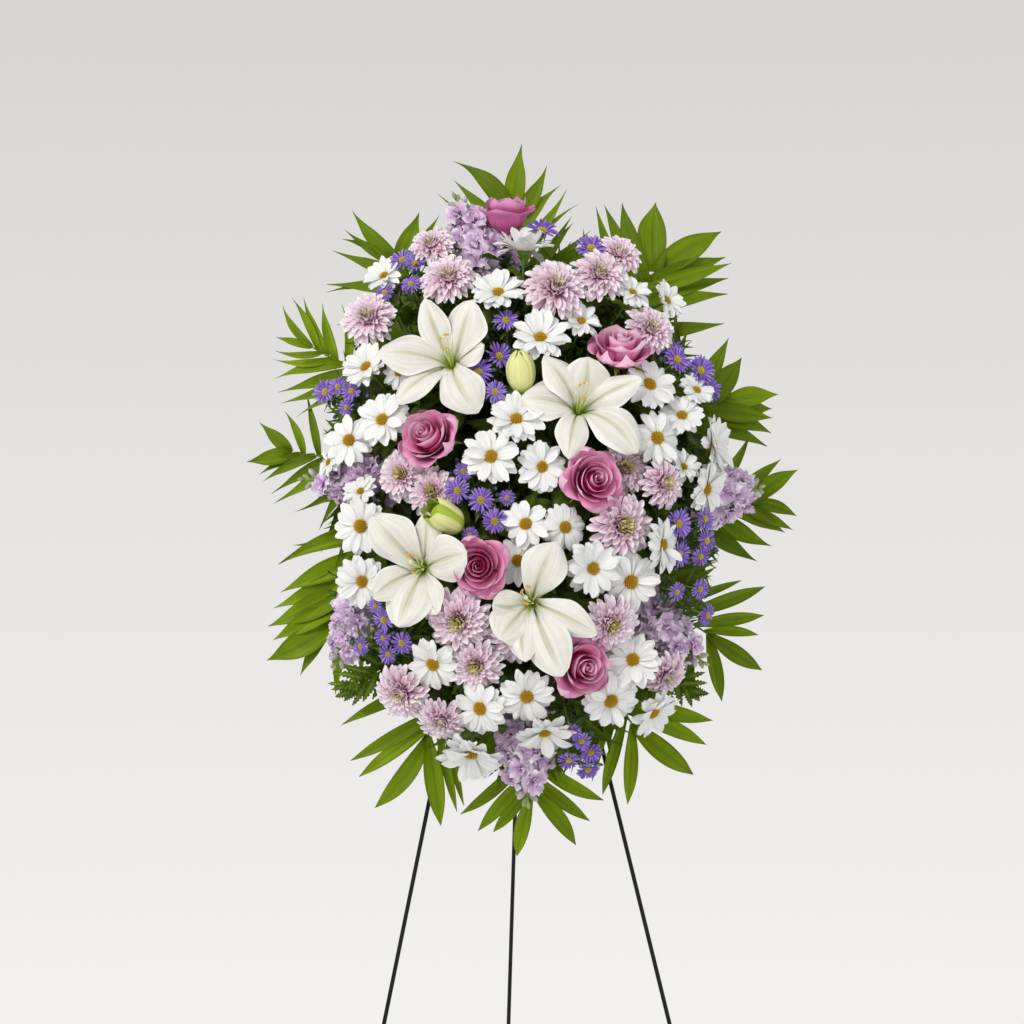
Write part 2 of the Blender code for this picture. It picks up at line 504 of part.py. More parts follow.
def bent(points, radius, steps=4):
    """The polyline with its inner corners rounded."""
    points = [Vector(p) for p in points]
    out = [points[0]]
    for a, b, c in zip(points, points[1:], points[2:]):
        before, after = (a - b), (c - b)
        cut = min(radius, before.length * 0.45, after.length * 0.45)
        p, q = b + before.normalized() * cut, b + after.normalized() * cut
        for k in range(steps + 1):
            x = k / steps
            out.append(p * (1 - x) ** 2 + b * 2 * x * (1 - x) + q * x * x)
    return out + [points[-1]]


def turned(profile, at, facing, sides, lobes=None, roll=0.0):
    """A solid of revolution about the line at + facing, from (radius, height) pairs, foot to crown; lobes swells every
    other side of the rings that it names."""
    b = bmesh.new()
    centre = world(*at)
    out = ACROSS * facing[0] + UP * facing[1] + OUT * facing[2]
    out.normalize()
    side = out.cross(UP if abs(out.dot(UP)) < 0.9 else OUT).normalized()
    other = out.cross(side)
    rings = []
    for k, (r, h) in enumerate(profile):
        if r < 1e-6:
            rings.append([b.verts.new(centre + out * h)])
            continue
        ring = []
        for j in range(sides):
            a = roll + 2 * pi * j / sides
            grow = lobes[k][j % 2] if lobes and k in lobes else (1.0, 0.0)
            ring.append(b.verts.new(centre + (side * cos(a) + other * sin(a)) * r * grow[0] + out * (h + grow[1])))
        rings.append(ring)
    for low, high in zip(rings, rings[1:]):
        for j in range(sides):
            k = (j + 1) % sides
            if len(low) == 1:
                b.faces.new((low[0], high[j], high[k]))
            elif len(high) == 1:
                b.faces.new((low[j], high[0], low[k]))
            else:
                b.faces.new((low[j], high[j], high[k], low[k]))
    if len(rings[0]) > 1:
        b.faces.new(rings[0])
    if len(rings[-1]) > 1:
        b.faces.new(rings[-1][::-1])
    bmesh.ops.recalc_face_normals(b, faces=b.faces)
    shape = bpy.data.meshes.new("turned")
    b.to_mesh(shape)
    b.free()
    return place(shape, "turned")


def brick(low, high):
    """A box from its lowest to its highest corner, in the spray's own axes."""
    bpy.ops.mesh.primitive_cube_add(size=1)
    cube = bpy.context.object
    shape = cube.data
    bpy.data.objects.remove(cube, do_unlink=True)
    low, high = Vector(low), Vector(high)
    for v in shape.vertices:
        p = [l + (h - l) * (c + 0.5) for l, h, c in zip(low, high, v.co)]
        v.co = world(*p)
    b = bmesh.new()
    b.from_mesh(shape)
    bmesh.ops.recalc_face_normals(b, faces=b.faces)
    b.to_mesh(shape)
    b.free()
    return place(shape, "brick")


def boolean(base, others, operation):
    group = bpy.data.collections.new("joined")
    bench.children.link(group)
    for o in others:
        bench.objects.unlink(o)
        group.objects.link(o)
    cut = base.modifiers.new("join", "BOOLEAN")
    cut.operation = operation
    cut.operand_type = "COLLECTION"
    cut.collection = group
    cut.solver = "EXACT"
    shape = solid(base, sew=False)
    for o in list(group.objects):
        bpy.data.objects.remove(o, do_unlink=True)
    bpy.data.collections.remove(group)
    return place(shape, "joined")


def node(name, solids, coat):
    """One named piece from one solid, or from several joined into one body."""
    base = solids[0] if len(solids) == 1 else boolean(solids[0], solids[1:], "UNION")
    without_specks(base.data)
    obj = bpy.data.objects.new(name, base.data)
    bpy.data.objects.remove(base, do_unlink=True)
    model.objects.link(obj)
    obj.data.name = name
    obj.data.materials.clear()
    obj.data.materials.append(skin(coat))
    middle = sum((v.co for v in obj.data.vertices), Vector()) / len(obj.data.vertices)
    obj.data.transform(Matrix.Translation(-middle))
    obj.location = middle
    return obj


def cut_at_floor(obj):
    b = bmesh.new()
    b.from_mesh(obj.data)
    cut = bmesh.ops.bisect_plane(b, geom=b.verts[:] + b.edges[:] + b.faces[:], plane_co=(0, 0, 0), plane_no=(0, 0, -1), clear_outer=True)
    rim = [e for e in cut["geom_cut"] if isinstance(e, bmesh.types.BMEdge)]
    bmesh.ops.contextual_create(b, geom=rim)
    bmesh.ops.recalc_face_normals(b, faces=b.faces)
    b.to_mesh(obj.data)
    b.free()
    return obj


def local(p):
    """A world point in the spray's own axes."""
    d = Vector(p) - MID
    return (d.dot(ACROSS), d.dot(UP), d.dot(OUT))


# ---------------------------------------------------------------- easel
def leg_line(drawn):
    (a, b), low = drawn, -MID.z / cos(LEAN) - 0.01
    p, q = seen(*a, 0.0), seen(*b, 0.0)
    slope = (q[0] - p[0]) / (q[1] - p[1])
    return lambda t: p[0] + slope * (t - p[1]), low, slope


left, low, ls = leg_line(LEG_DRAWN[0])
right, low, rs = leg_line(LEG_DRAWN[1])
apex_t = (left(0) - right(0)) / (rs - ls)
apex_s = left(apex_t)
half = WIRE_R + GAP / 2
for name, line, slope, side in (("easel_leg_left", left, ls, -1), ("easel_leg_right", right, rs, 1)):
    turn_t = apex_t - half / abs(slope)
    path = [(line(low), low, 0), (apex_s + side * half, turn_t, 0), (apex_s + side * half, apex_t + APEX_RISE, 0)]
    node(name, [cut_at_floor(tube(bent(path, 0.02, 3), WIRE_R, sides=2))], "easel_wire")

bar_n = -(2 * WIRE_R + GAP)
bar_t = apex_t - TOP_BAR_DROP
node("easel_top_bar", [tube([(left(bar_t) - 0.008, bar_t, bar_n), (right(bar_t) + 0.008, bar_t, bar_n)], WIRE_R, sides=2)], "easel_wire")

hinge = world(REAR_EYE_S, bar_t, bar_n)
foot = Vector((REAR_FOOT[0], REAR_FOOT[1], 0.0))
eye_r = 2 * WIRE_R + 0.0004
down = Vector((0, foot.y - hinge.y, foot.z - hinge.z)).normalized()
back = Vector((0, -down.z, down.y))
leg = [foot + (foot - hinge).normalized() * 0.01]
start = hinge + back * eye_r
leg.append(start + down * 0.030)
for k in range(11):
    a = radians(29 * k)
    leg.append(hinge + (back * cos(a) - down * sin(a)) * eye_r)
rear = tube([local(p) for p in leg], WIRE_R, sides=2)
node("easel_leg_rear", [cut_at_floor(rear)], "easel_wire")

hook_s = (left(CROSS_BAR_T) - 0.006, right(CROSS_BAR_T) + 0.006)
front_n = 2 * WIRE_R + GAP
reach = front_n + HOOK_REACH
path = [(hook_s[0], CROSS_BAR_T + HOOK_RISE, reach), (hook_s[0], CROSS_BAR_T, reach), (hook_s[0], CROSS_BAR_T, front_n),
        (hook_s[1], CROSS_BAR_T, front_n), (hook_s[1], CROSS_BAR_T, reach), (hook_s[1], CROSS_BAR_T + HOOK_RISE, reach)]
node("easel_cross_bar", [tube(bent(path, 0.009, 3), WIRE_R, sides=2)], "easel_wire")

# ---------------------------------------------------------------- foam holder
fs, ft = FOAM_MID
hs, ht = FOAM_S / 2, FOAM_T / 2
tray_out = TRAY_WALL + GAP
floor_n = FOAM_BACK - GAP
tray = brick((fs - hs - tray_out, ft - ht - tray_out, floor_n - TRAY_WALL), (fs + hs + tray_out, ft + ht + tray_out, floor_n + TRAY_HIGH))
hollow = brick((fs - hs - GAP, ft - ht - GAP, floor_n), (fs + hs + GAP, ft + ht + GAP, floor_n + TRAY_HIGH + 0.01))
tray = boolean(tray, [hollow], "DIFFERENCE")
# two ledges under the tray's ends stand on the easel's hooks
ledge_t = CROSS_BAR_T + WIRE_R + GAP
ledges = []
for s in hook_s:
    ledges.append(brick((s - 0.006, ledge_t, floor_n + 0.001), (s + 0.006, ledge_t + 0.003, floor_n + 0.042)))
foot_low = ft - ht - tray_out
for s, side in zip(hook_s, (-1, 1)):
    inner = fs + side * (hs - 0.012)
    ledges.append(brick((min(s, inner) - 0.005, ledge_t + 0.0004, floor_n + 0.002), (max(s, inner) + 0.005, ledge_t + 0.0026, floor_n + 0.014)))
    ledges.append(brick((inner - 0.004, ledge_t + 0.001, floor_n + 0.003), (inner + 0.004, foot_low + 0.001, floor_n + 0.012)))
node("holder_tray", [tray] + ledges, "tray_plastic")

grid_n = FACE_N + GAP
rim_out = tray_out + GAP + 0.0002
bars = []
ts = [ft + 0.019 * k for k in (-4.5, -1.5, 1.5, 4.5)]
for t in ts:
    bars.append(brick((fs - hs - 0.003, t - CAGE_BAR / 2, grid_n), (fs + hs + 0.003, t + CAGE_BAR / 2, grid_n + 0.0026)))
for s in (fs - 0.027, fs + 0.027):
    bars.append(brick((s - CAGE_BAR / 2, ts[0] - 0.001, grid_n + 0.0003), (s + CAGE_BAR / 2, ts[-1] + 0.001, grid_n + 0.0023)))
for t in (ts[0], ts[-1]):
    for side in (-1, 1):
        a, b = sorted((fs + side * (hs + GAP + 0.0002), fs + side * (hs + 0.0028)))
        bars.append(brick((a, t - CAGE_BAR / 2 + 0.0004, floor_n + TRAY_HIGH + GAP), (b, t + CAGE_BAR / 2 - 0.0004, grid_n + 0.0012)))
node("holder_cage", bars, "tray_plastic")

# ---------------------------------------------------------------- flower stems
def profile(flower, r):
    """Half section of a head, foot to crown, its sides and its lobes."""
    f = r * HEAD_FIT
    if flower == "rose":
        return [(0.0026, -0.62 * r), (0.30 * f, -0.56 * r), (0.82 * f, -0.16 * r), (1.0 * f, 0.22 * r), (0.62 * f, 0.40 * r), (0, 0.42 * r)], 8, None
    if flower == "lily":
        lobes = {2: ((1.0, 0), (0.62, -0.05 * r)), 3: ((1.0, 0), (0.58, -0.03 * r))}
        return [(0.0032, -0.66 * r), (0.22 * f, -0.30 * r), (1.02 * f, 0.16 * r), (1.0 * f, 0.20 * r), (0.20 * f, -0.12 * r), (0, -0.28 * r)], 12, lobes
    if flower == "bud":
        return [(0.0030, -1.0 * r), (0.50 * r, -0.62 * r), (0.60 * r, 0.0), (0.42 * r, 0.62 * r), (0, 0.98 * r)], 6, None
    if flower == "daisy":
        return [(0.12 * f, -0.34 * r), (1.0 * f, 0.02 * r), (0.28 * f, 0.05 * r), (0, 0.15 * r)], 8, None
    if flower == "mum":
        return [(0.14 * f, -0.42 * r), (1.0 * f, -0.04 * r), (0.70 * f, 0.26 * r), (0, 0.36 * r)], 8, None
    return [(0.22 * f, -0.55 * r), (1.0 * f, 0.0), (0, 0.22 * r)], 6, None


for name in pieces:
    run = runs[name]
    solids = [tube([P[k] for k in run["trunk"]], run["trunk_r"], sides=0)]
    coat = pieces[name][0].flower
    for h, line, r in run["branches"]:
        path = [P[k] for k in line]
        step = unit(path[1] - path[0])
        if len(run["branches"]) > 1:
            path[0] = path[0] - step * run["trunk_r"] * 0.3
        if h.flower == "stock":
            a, b = h.axis
            axis = unit(b - a)
            path[-1] = a + axis * 0.010
            solids.append(tube(path, r, sides=0))
            n = np.linalg.norm(b - a)
            w = h.r * 0.98
            prof = [(0.0036, 0.0), (0.96 * w, 0.12 * n), (0.98 * w, 0.40 * n), (0.66 * w, 0.66 * n), (0.34 * w, 0.92 * n), (0, n)]
            solids.append(turned(prof, a, axis, 7))
            continue
        path[-1] = h.at - h.turn * h.r * NECK[h.flower] * 0.72
        solids.append(tube(path, r, sides=0))
        prof, sides, lobes = profile(h.flower, h.r)
        solids.append(turned(prof, h.at, h.turn, sides, lobes))
    node(name, solids, coat)


# ---------------------------------------------------------------- fronds
def blade(name, layer, foot_at, bend, end, leaflets, coat, thick):
    """A flat frond cut to its outline: the strip of the rachis with the leaflets in order round it."""
    n = FOAM_BACK + 0.024 + 0.0046 * layer
    a, m, e = (np.array(seen(*p, n)[:2]) for p in (foot_at, bend, end))
    a = a - unit(m - a) * FROND_DEEP
    g = GRID
    spot = lambda x: a * (1 - x) ** 2 + m * 2 * x * (1 - x) + e * x * x
    along = lambda x: unit(spot(min(1, x + 0.02)) - spot(max(0, x - 0.02)))
    left_of = lambda v: np.array([-v[1], v[0]])
    edge = 1.3 * g
    axes = []
    for k, (x, tip, wide) in enumerate(leaflets):
        tip = np.array(seen(*tip, n)[:2])
        base = spot(x)
        axes.append([x, base, tip, unit(tip - base), np.linalg.norm(tip - base), wide * g * 0.5])
    for k, leaf in enumerate(axes):
        x, base, tip, way, length, wide = leaf
        mid = base + way * length * 0.45
        for j in (k - 1, k + 1):
            if 0 <= j < len(axes):
                other = axes[j]
                foot = other[1] + other[3] * np.clip((mid - other[1]) @ other[3], 0, other[4])
                wide = min(wide, np.linalg.norm(mid - foot) * 0.40)
        leaf[5] = wide
    outline = []
    turn = np.sign(np.cross(along(1.0), axes[0][3])) or 1
    strip = [0.02, 0.2, 0.4]
    first_side = turn
    for x in [0.0] + strip:
        if x < axes[0][0] - 0.05:
            outline.append(spot(x) + left_of(along(x)) * edge * first_side)
    for k, (x, base, tip, way, length, wide) in enumerate(axes):
        root = base + way * (edge * (1.0 if x < 0.985 else 2.6))
        across = left_of(way) * first_side
        spread = 0.55 * g if x < 0.985 else 0.8 * g
        outline += [root + across * spread, base + way * length * 0.45 + across * wide, tip, base + way * length * 0.45 - across * wide, root - across * spread]
    for x in strip[::-1] + [0.0]:
        if x < axes[-1][0] - 0.05:
            outline.append(spot(x) - left_of(along(x)) * edge * first_side)
    curve = bpy.data.curves.new(name, "CURVE")
    curve.dimensions = "2D"
    curve.fill_mode = "BOTH"
    curve.extrude = thick / 2
    line = curve.splines.new("POLY")
    line.points.add(len(outline) - 1)
    for p, q in zip(line.points, outline):
        p.co = (q[0], q[1], 0, 1)
    line.use_cyclic_u = True
    obj = place(curve, "outline")
    frame = Matrix((ACROSS, UP, OUT)).transposed().to_4x4()
    frame.translation = world(0, 0, n)
    obj.matrix_world = frame
    node(name, [place(solid(obj), "outline")], coat)
    return a, along(0.02), n


slots = []
for name, layer, foot_at, bend, end, leaflets in FRONDS:
    slots.append(blade(name, layer, foot_at, bend, end, leaflets, "palm", FROND_THICK))
for name, layer, foot_at, bend, end, leaflets in FERNS:
    slots.append(blade(name, layer, foot_at, bend, end, leaflets, "fern", FROND_THICK))

# ---------------------------------------------------------------- foam block, with a socket for each stem
block = brick((fs - hs, ft - ht, FOAM_BACK), (fs + hs, ft + ht, FACE_N))
cuts = []
for name in pieces:
    s, t = socket[name]
    s, t = s + fs, t + ft
    r = runs[name]["trunk_r"] + 0.0005
    cuts.append(tube([(s, t, FACE_N - SOCKET_DEEP), (s, t, FACE_N + 0.004)], r * 1.06, sides=0))
for a, way, n in slots:
    slit = brick((-0.0025, -0.0012, -FROND_THICK / 2 - 0.0004), (0.0025, 0.040, FROND_THICK / 2 + 0.0004))
    turn = Matrix((ACROSS, UP, OUT)).transposed()
    spin = turn @ Matrix(((way[1], way[0], 0), (-way[0], way[1], 0), (0, 0, 1))) @ turn.transposed()
    slit.data.transform(Matrix.Translation(world(a[0], a[1], n)) @ spin.to_4x4() @ Matrix.Translation(-MID))
    cuts.append(slit)
node("foam_block", [boolean(block, cuts, "DIFFERENCE")], "foam")
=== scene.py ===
"""Standing funeral arrangement: an oval spray of cut flowers and palm fronds on a folding wire easel. Metres, +Z up, the
front faces -Y. Every flower, leaf and wire is drawn on the frame of the solid model."""

from math import cos, pi, radians, sin, sqrt

import bpy
import numpy as np
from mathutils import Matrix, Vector

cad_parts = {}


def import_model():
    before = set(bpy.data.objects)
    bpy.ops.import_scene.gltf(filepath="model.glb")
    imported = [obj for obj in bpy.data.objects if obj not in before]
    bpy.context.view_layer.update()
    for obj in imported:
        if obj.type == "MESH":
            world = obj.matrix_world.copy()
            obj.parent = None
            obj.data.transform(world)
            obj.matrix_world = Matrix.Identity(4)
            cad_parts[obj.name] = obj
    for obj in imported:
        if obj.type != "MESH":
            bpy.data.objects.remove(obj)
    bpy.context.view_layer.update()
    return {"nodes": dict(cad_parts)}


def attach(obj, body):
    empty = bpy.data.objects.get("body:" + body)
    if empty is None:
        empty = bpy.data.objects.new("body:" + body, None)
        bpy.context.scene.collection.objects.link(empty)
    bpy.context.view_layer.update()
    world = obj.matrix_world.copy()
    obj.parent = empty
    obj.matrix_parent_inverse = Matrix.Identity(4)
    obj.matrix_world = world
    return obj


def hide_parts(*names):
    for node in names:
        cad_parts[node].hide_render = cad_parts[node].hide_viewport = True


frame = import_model()

# ---------------------------------------------------------------- driving dimensions (metres)
GRID = 0.0012  # one unit of the front elevation that the tables below are drawn in, at the easel's plane
GRID_MID = (513.0, 512.0)  # elevation units of the easel's centre line at the height of MID
SIGHT = 3.4  # distance that the front elevation is drawn from
MID = Vector((-0.0106, -0.062, 1.217))  # point of the easel's front plane that the spray is set out from
LEAN = radians(9.0)  # the front frame leans back by this

WIRE_R = 0.0025  # easel wire
GAP = 0.0003  # running gap between touching pieces
LEG_DRAWN = (((430.2, 796.0), (383.9, 1024.0)), ((610.4, 782.2), (669.6, 1024.0)))
APEX_RISE = 0.045  # the two front wires run up side by side by this much
TOP_BAR_DROP = 0.110  # top bar below the apex
REAR_FOOT = (-0.0329, 0.363)  # x, y of the rear leg's foot
REAR_EYE_S = 0.0142  # place of the rear leg's eye along the top bar
CROSS_BAR_T = -0.150
HOOK_REACH, HOOK_RISE = 0.078, 0.034

FOAM_N = 0.078  # depth of the foam block
FOAM_MID = (0.0085, 0.008)  # its middle, across and up the easel's plane
FOAM_BACK = 0.0108  # its back face in front of the easel's plane
SOCKET_DEEP = 0.024
FROND_DEEP = 0.010
FACE_N = FOAM_BACK + FOAM_N
DOME_LOW, DOME_HIGH = 0.030, 0.120  # heads above the foam's face, at the rim and more in the middle

BALL = {"rose": 0.86, "lily": 0.52, "bud": 0.85, "daisy": 0.72, "mum": 0.78, "aster": 0.85, "stock": 1.0}
NECK = {"rose": 0.55, "lily": 0.60, "bud": 0.90, "daisy": 0.28, "mum": 0.34, "aster": 0.45, "stock": 0.2}
STEM_R = {"rose": 0.0026, "lily": 0.0030, "daisy": 0.0016, "mum": 0.0017, "aster": 0.0012, "stock": 0.0030}

# piece, flower, elevation across, elevation down, radius (all in elevation units), extra height (mm), turn (across, up)
HEADS = [
    ("rose_top", "rose", 507, 219, 27, 4, (0.0, 2.4)),
    ("rose_right_high", "rose", 621, 348, 29, 6, (-0.3, 0.9)),
    ("rose_left", "rose", 426, 439, 33, 8, (-0.1, 0.2)),
    ("rose_right", "rose", 598, 483, 34, 6, (0.0, 0.0)),
    ("rose_centre", "rose", 480, 566, 32, 8, (0.1, 0.1)),
    ("rose_low", "rose", 587, 668, 33, 6, (0.2, 0.3)),
    ("lily_top_left", "lily", 442, 358, 58, 20, (0.0, 0.1)),
    ("lily_right", "lily", 578, 410, 60, 22, (0.0, 0.2)),
    ("lily_right", "bud", 520, 370, 24, 8, (-0.2, 2.0)),
    ("lily_left", "lily", 421, 563, 60, 22, (0.0, 0.0)),
    ("lily_left", "bud", 444, 517, 21, 14, (-0.7, 0.6)),
    ("lily_centre", "lily", 543, 606, 60, 24, (-0.3, 0.1)),
    ("daisy_top", "daisy", 524, 249, 29, 0, (0.1, 2.6)),
    ("daisy_top", "daisy", 499, 296, 28, 4, (0.0, 0.7)),
    ("daisy_top", "daisy", 540, 339, 30, 2, (0.0, 0.3)),
    ("daisy_top", "daisy", 581, 322, 22, -8, (0.2, 0.7)),
    ("daisy_top", "daisy", 630, 292, 22, 2, (0.5, 0.8)),
    ("daisy_top", "daisy", 666, 301, 21, -2, (1.4, 0.4)),
    ("daisy_left_high", "daisy", 386, 276, 22, 0, (-0.2, 0.3)),
    ("daisy_left_high", "daisy", 366, 369, 26, 4, (-0.3, 0.6)),
    ("daisy_left_high", "daisy", 399, 373, 20, -6, (0.2, -0.2)),
    ("daisy_left_high", "daisy", 382, 421, 30, 4, (0.3, 0.0)),
    ("daisy_left_high", "daisy", 350, 440, 28, 0, (0.4, -0.1)),
    ("daisy_left_high", "daisy", 329, 462, 16, -4, (-0.4, 0.2)),
    ("daisy_middle", "daisy", 516, 420, 31, 4, (0.0, 0.2)),
    ("daisy_middle", "daisy", 491, 457, 32, 6, (0.0, 0.1)),
    ("daisy_middle", "daisy", 542, 467, 28, 2, (-0.1, -0.1)),
    ("daisy_middle", "daisy", 527, 527, 27, 0, (-0.2, 0.2)),
    ("daisy_middle", "daisy", 514, 558, 27, -4, (0.0, 0.1)),
    ("daisy_middle", "daisy", 563, 527, 27, 0, (0.2, 0.0)),
    ("daisy_right_high", "daisy", 649, 385, 29, 2, (0.1, 0.3)),
    ("daisy_right_high", "daisy", 655, 440, 30, 4, (-0.2, 0.0)),
    ("daisy_right_high", "daisy", 682, 416, 25, 0, (-0.6, 0.2)),
    ("daisy_right_high", "daisy", 711, 445, 26, -2, (1.2, 0.0)),
    ("daisy_right_high", "daisy", 697, 391, 20, 0, (0.4, 1.0)),
    ("daisy_right_high", "daisy", 705, 489, 25, -2, (0.9, -0.5)),
    ("daisy_right_high", "daisy", 683, 468, 18, -6, (0.2, 0.4)),
    ("daisy_left", "daisy", 361, 525, 31, 2, (0.3, 0.0)),
    ("daisy_left", "daisy", 364, 584, 29, 0, (0.4, 0.0)),
    ("daisy_left", "daisy", 361, 493, 19, -6, (0.0, 0.9)),
    ("daisy_right", "daisy", 596, 570, 31, 4, (0.1, 0.0)),
    ("daisy_right", "daisy", 627, 580, 32, 0, (-0.1, 0.0)),
    ("daisy_right", "daisy", 661, 545, 24, 4, (0.9, 0.0)),
    ("daisy_low_left", "daisy", 434, 664, 29, 2, (0.0, 0.0)),
    ("daisy_low_left", "daisy", 479, 707, 30, 0, (-0.1, 0.3)),
    ("daisy_low_left", "daisy", 471, 752, 29, -2, (0.0, -1.2)),
    ("daisy_low_left", "daisy", 527, 697, 30, 2, (0.0, 0.1)),
    ("daisy_low_left", "daisy", 547, 730, 26, -2, (0.2, -1.2)),
    ("daisy_low_right", "daisy", 631, 655, 31, 0, (-0.5, 0.6)),
    ("daisy_low_right", "daisy", 608, 697, 31, 4, (0.0, 0.2)),
    ("daisy_low_right", "daisy", 653, 712, 24, -2, (0.8, -0.8)),
    ("mum_top_left", "mum", 431, 246, 23, 0, (-0.2, 0.9)),
    ("mum_top_left", "mum", 449, 278, 28, 2, (0.0, 0.4)),
    ("mum_top_left", "mum", 372, 314, 28, 0, (0.0, 0.2)),
    ("mum_top_right", "mum", 557, 288, 33, 2, (0.0, 0.4)),
    ("mum_top_right", "mum", 600, 274, 28, 0, (0.2, 0.3)),
    ("mum_top_right", "mum", 618, 254, 23, -4, (0.5, 0.9)),
    ("mum_top_right", "mum", 650, 331, 26, 0, (0.3, 0.4)),
    ("mum_left", "mum", 434, 492, 23, -4, (0.0, 0.2)),
    ("mum_left", "mum", 403, 473, 23, -4, (-0.3, 0.2)),
    ("mum_right", "mum", 625, 466, 27, -8, (0.2, 0.3)),
    ("mum_right", "mum", 664, 483, 25, 0, (0.3, 0.0)),
    ("mum_right", "mum", 623, 524, 33, 2, (0.1, 0.0)),
    ("mum_centre", "mum", 459, 621, 32, 2, (0.0, 0.0)),
    ("mum_centre", "mum", 516, 634, 27, -4, (0.1, 0.0)),
    ("mum_centre", "mum", 475, 667, 26, -2, (0.0, 0.2)),
    ("mum_low_left", "mum", 402, 692, 29, 0, (-0.2, -0.2)),
    ("mum_low_left", "mum", 443, 719, 24, 0, (0.0, -0.4)),
    ("mum_low_right", "mum", 612, 632, 29, -2, (0.1, 0.0)),
    ("mum_low_right", "mum", 664, 674, 23, -4, (0.4, -0.5)),
    ("aster_left_high", "aster", 402, 262, 10, 0, (0.0, 0.3)),
    ("aster_left_high", "aster", 415, 263, 9, 0, (0.2, 0.5)),
    ("aster_left_high", "aster", 411, 284, 10, 4, (0.0, 0.2)),
    ("aster_left_high", "aster", 382, 296, 10, 0, (0.0, 0.2)),
    ("aster_left_high", "aster", 326, 392, 10, 0, (-0.2, 0.2)),
    ("aster_left_high", "aster", 338, 387, 10, 2, (0.0, 0.2)),
    ("aster_left_high", "aster", 352, 391, 10, 2, (0.0, 0.0)),
    ("aster_left_high", "aster", 347, 406, 9, 0, (0.0, -0.2)),
    ("aster_top", "aster", 541, 232, 13, 0, (0.2, 1.2)),
    ("aster_top", "aster", 593, 251, 13, 0, (0.2, 0.6)),
    ("aster_top", "aster", 505, 318, 12, 0, (0.0, 0.2)),
    ("aster_top", "aster", 470, 329, 12, -2, (-0.1, 0.4)),
    ("aster_top", "aster", 476, 371, 14, 2, (0.0, 0.0)),
    ("aster_top", "aster", 495, 392, 11, 2, (0.0, 0.0)),
    ("aster_top", "aster", 500, 357, 11, 0, (0.9, 0.3)),
    ("aster_right_high", "aster", 671, 349, 11, 0, (0.0, 0.5)),
    ("aster_right_high", "aster", 676, 359, 11, 2, (0.3, 0.2)),
    ("aster_right_high", "aster", 700, 371, 12, 0, (0.3, 0.2)),
    ("aster_right_high", "aster", 709, 389, 10, 0, (0.9, 0.2)),
    ("aster_middle", "aster", 464, 471, 9, 0, (0.0, 0.0)),
    ("aster_middle", "aster", 456, 491, 12, 2, (0.0, 0.0)),
    ("aster_middle", "aster", 481, 500, 12, 2, (0.0, 0.0)),
    ("aster_middle", "aster", 495, 521, 12, 2, (0.0, -0.2)),
    ("aster_middle", "aster", 470, 535, 8, 2, (0.0, 0.0)),
    ("aster_middle", "aster", 507, 498, 8, -4, (0.0, 0.4)),
    ("aster_right", "aster", 678, 524, 14, 2, (0.0, 0.0)),
    ("aster_right", "aster", 705, 519, 11, 0, (0.2, 0.1)),
    ("aster_right", "aster", 706, 542, 11, 0, (0.1, 0.0)),
    ("aster_right", "aster", 677, 552, 12, 2, (0.0, -0.1)),
    ("aster_right", "aster", 701, 555, 10, 0, (0.0, -0.4)),
    ("aster_right", "aster", 677, 592, 9, 0, (0.0, 0.0)),
    ("aster_right", "aster", 700, 589, 10, 2, (0.1, 0.0)),
    ("aster_right", "aster", 707, 615, 9, 0, (0.9, -0.4)),
    ("aster_low_left", "aster", 384, 622, 11, 0, (0.0, 0.1)),
    ("aster_low_left", "aster", 384, 637, 9, 0, (0.0, 0.0)),
    ("aster_low_left", "aster", 402, 643, 11, 2, (0.0, 0.0)),
    ("aster_low_left", "aster", 388, 652, 10, 0, (0.0, -0.1)),
    ("aster_low_left", "aster", 361, 646, 9, 0, (-0.3, 0.2)),
    ("aster_low_left", "aster", 374, 603, 8, -2, (0.0, 0.3)),
    ("aster_low", "aster", 571, 734, 9, -2, (0.0, 0.0)),
    ("aster_low", "aster", 581, 741, 9, 0, (0.0, 0.2)),
    ("aster_low", "aster", 589, 751, 11, 0, (0.0, 0.0)),
    ("aster_low", "aster", 569, 760, 10, 0, (-0.1, -0.2)),
    ("aster_low", "aster", 588, 768, 9, -2, (0.1, -0.6)),
]
# piece, elevation of the spike's foot and tip, radius, height of foot and tip above the foam's face (mm)
SPIKES = [
    ("stock_top", (492, 268), (455, 200), 19, 50, 44),
    ("stock_left", (392, 481), (304, 482), 19, 58, 30),
    ("stock_right", (700, 500), (759, 488), 20, 40, 30),
    ("stock_low_left", (364, 604), (336, 668), 17, 34, 30),
    ("stock_low_right", (640, 616), (704, 664), 19, 46, 30),
    ("stock_low", (522, 720), (528, 804), 20, 46, 32),
]
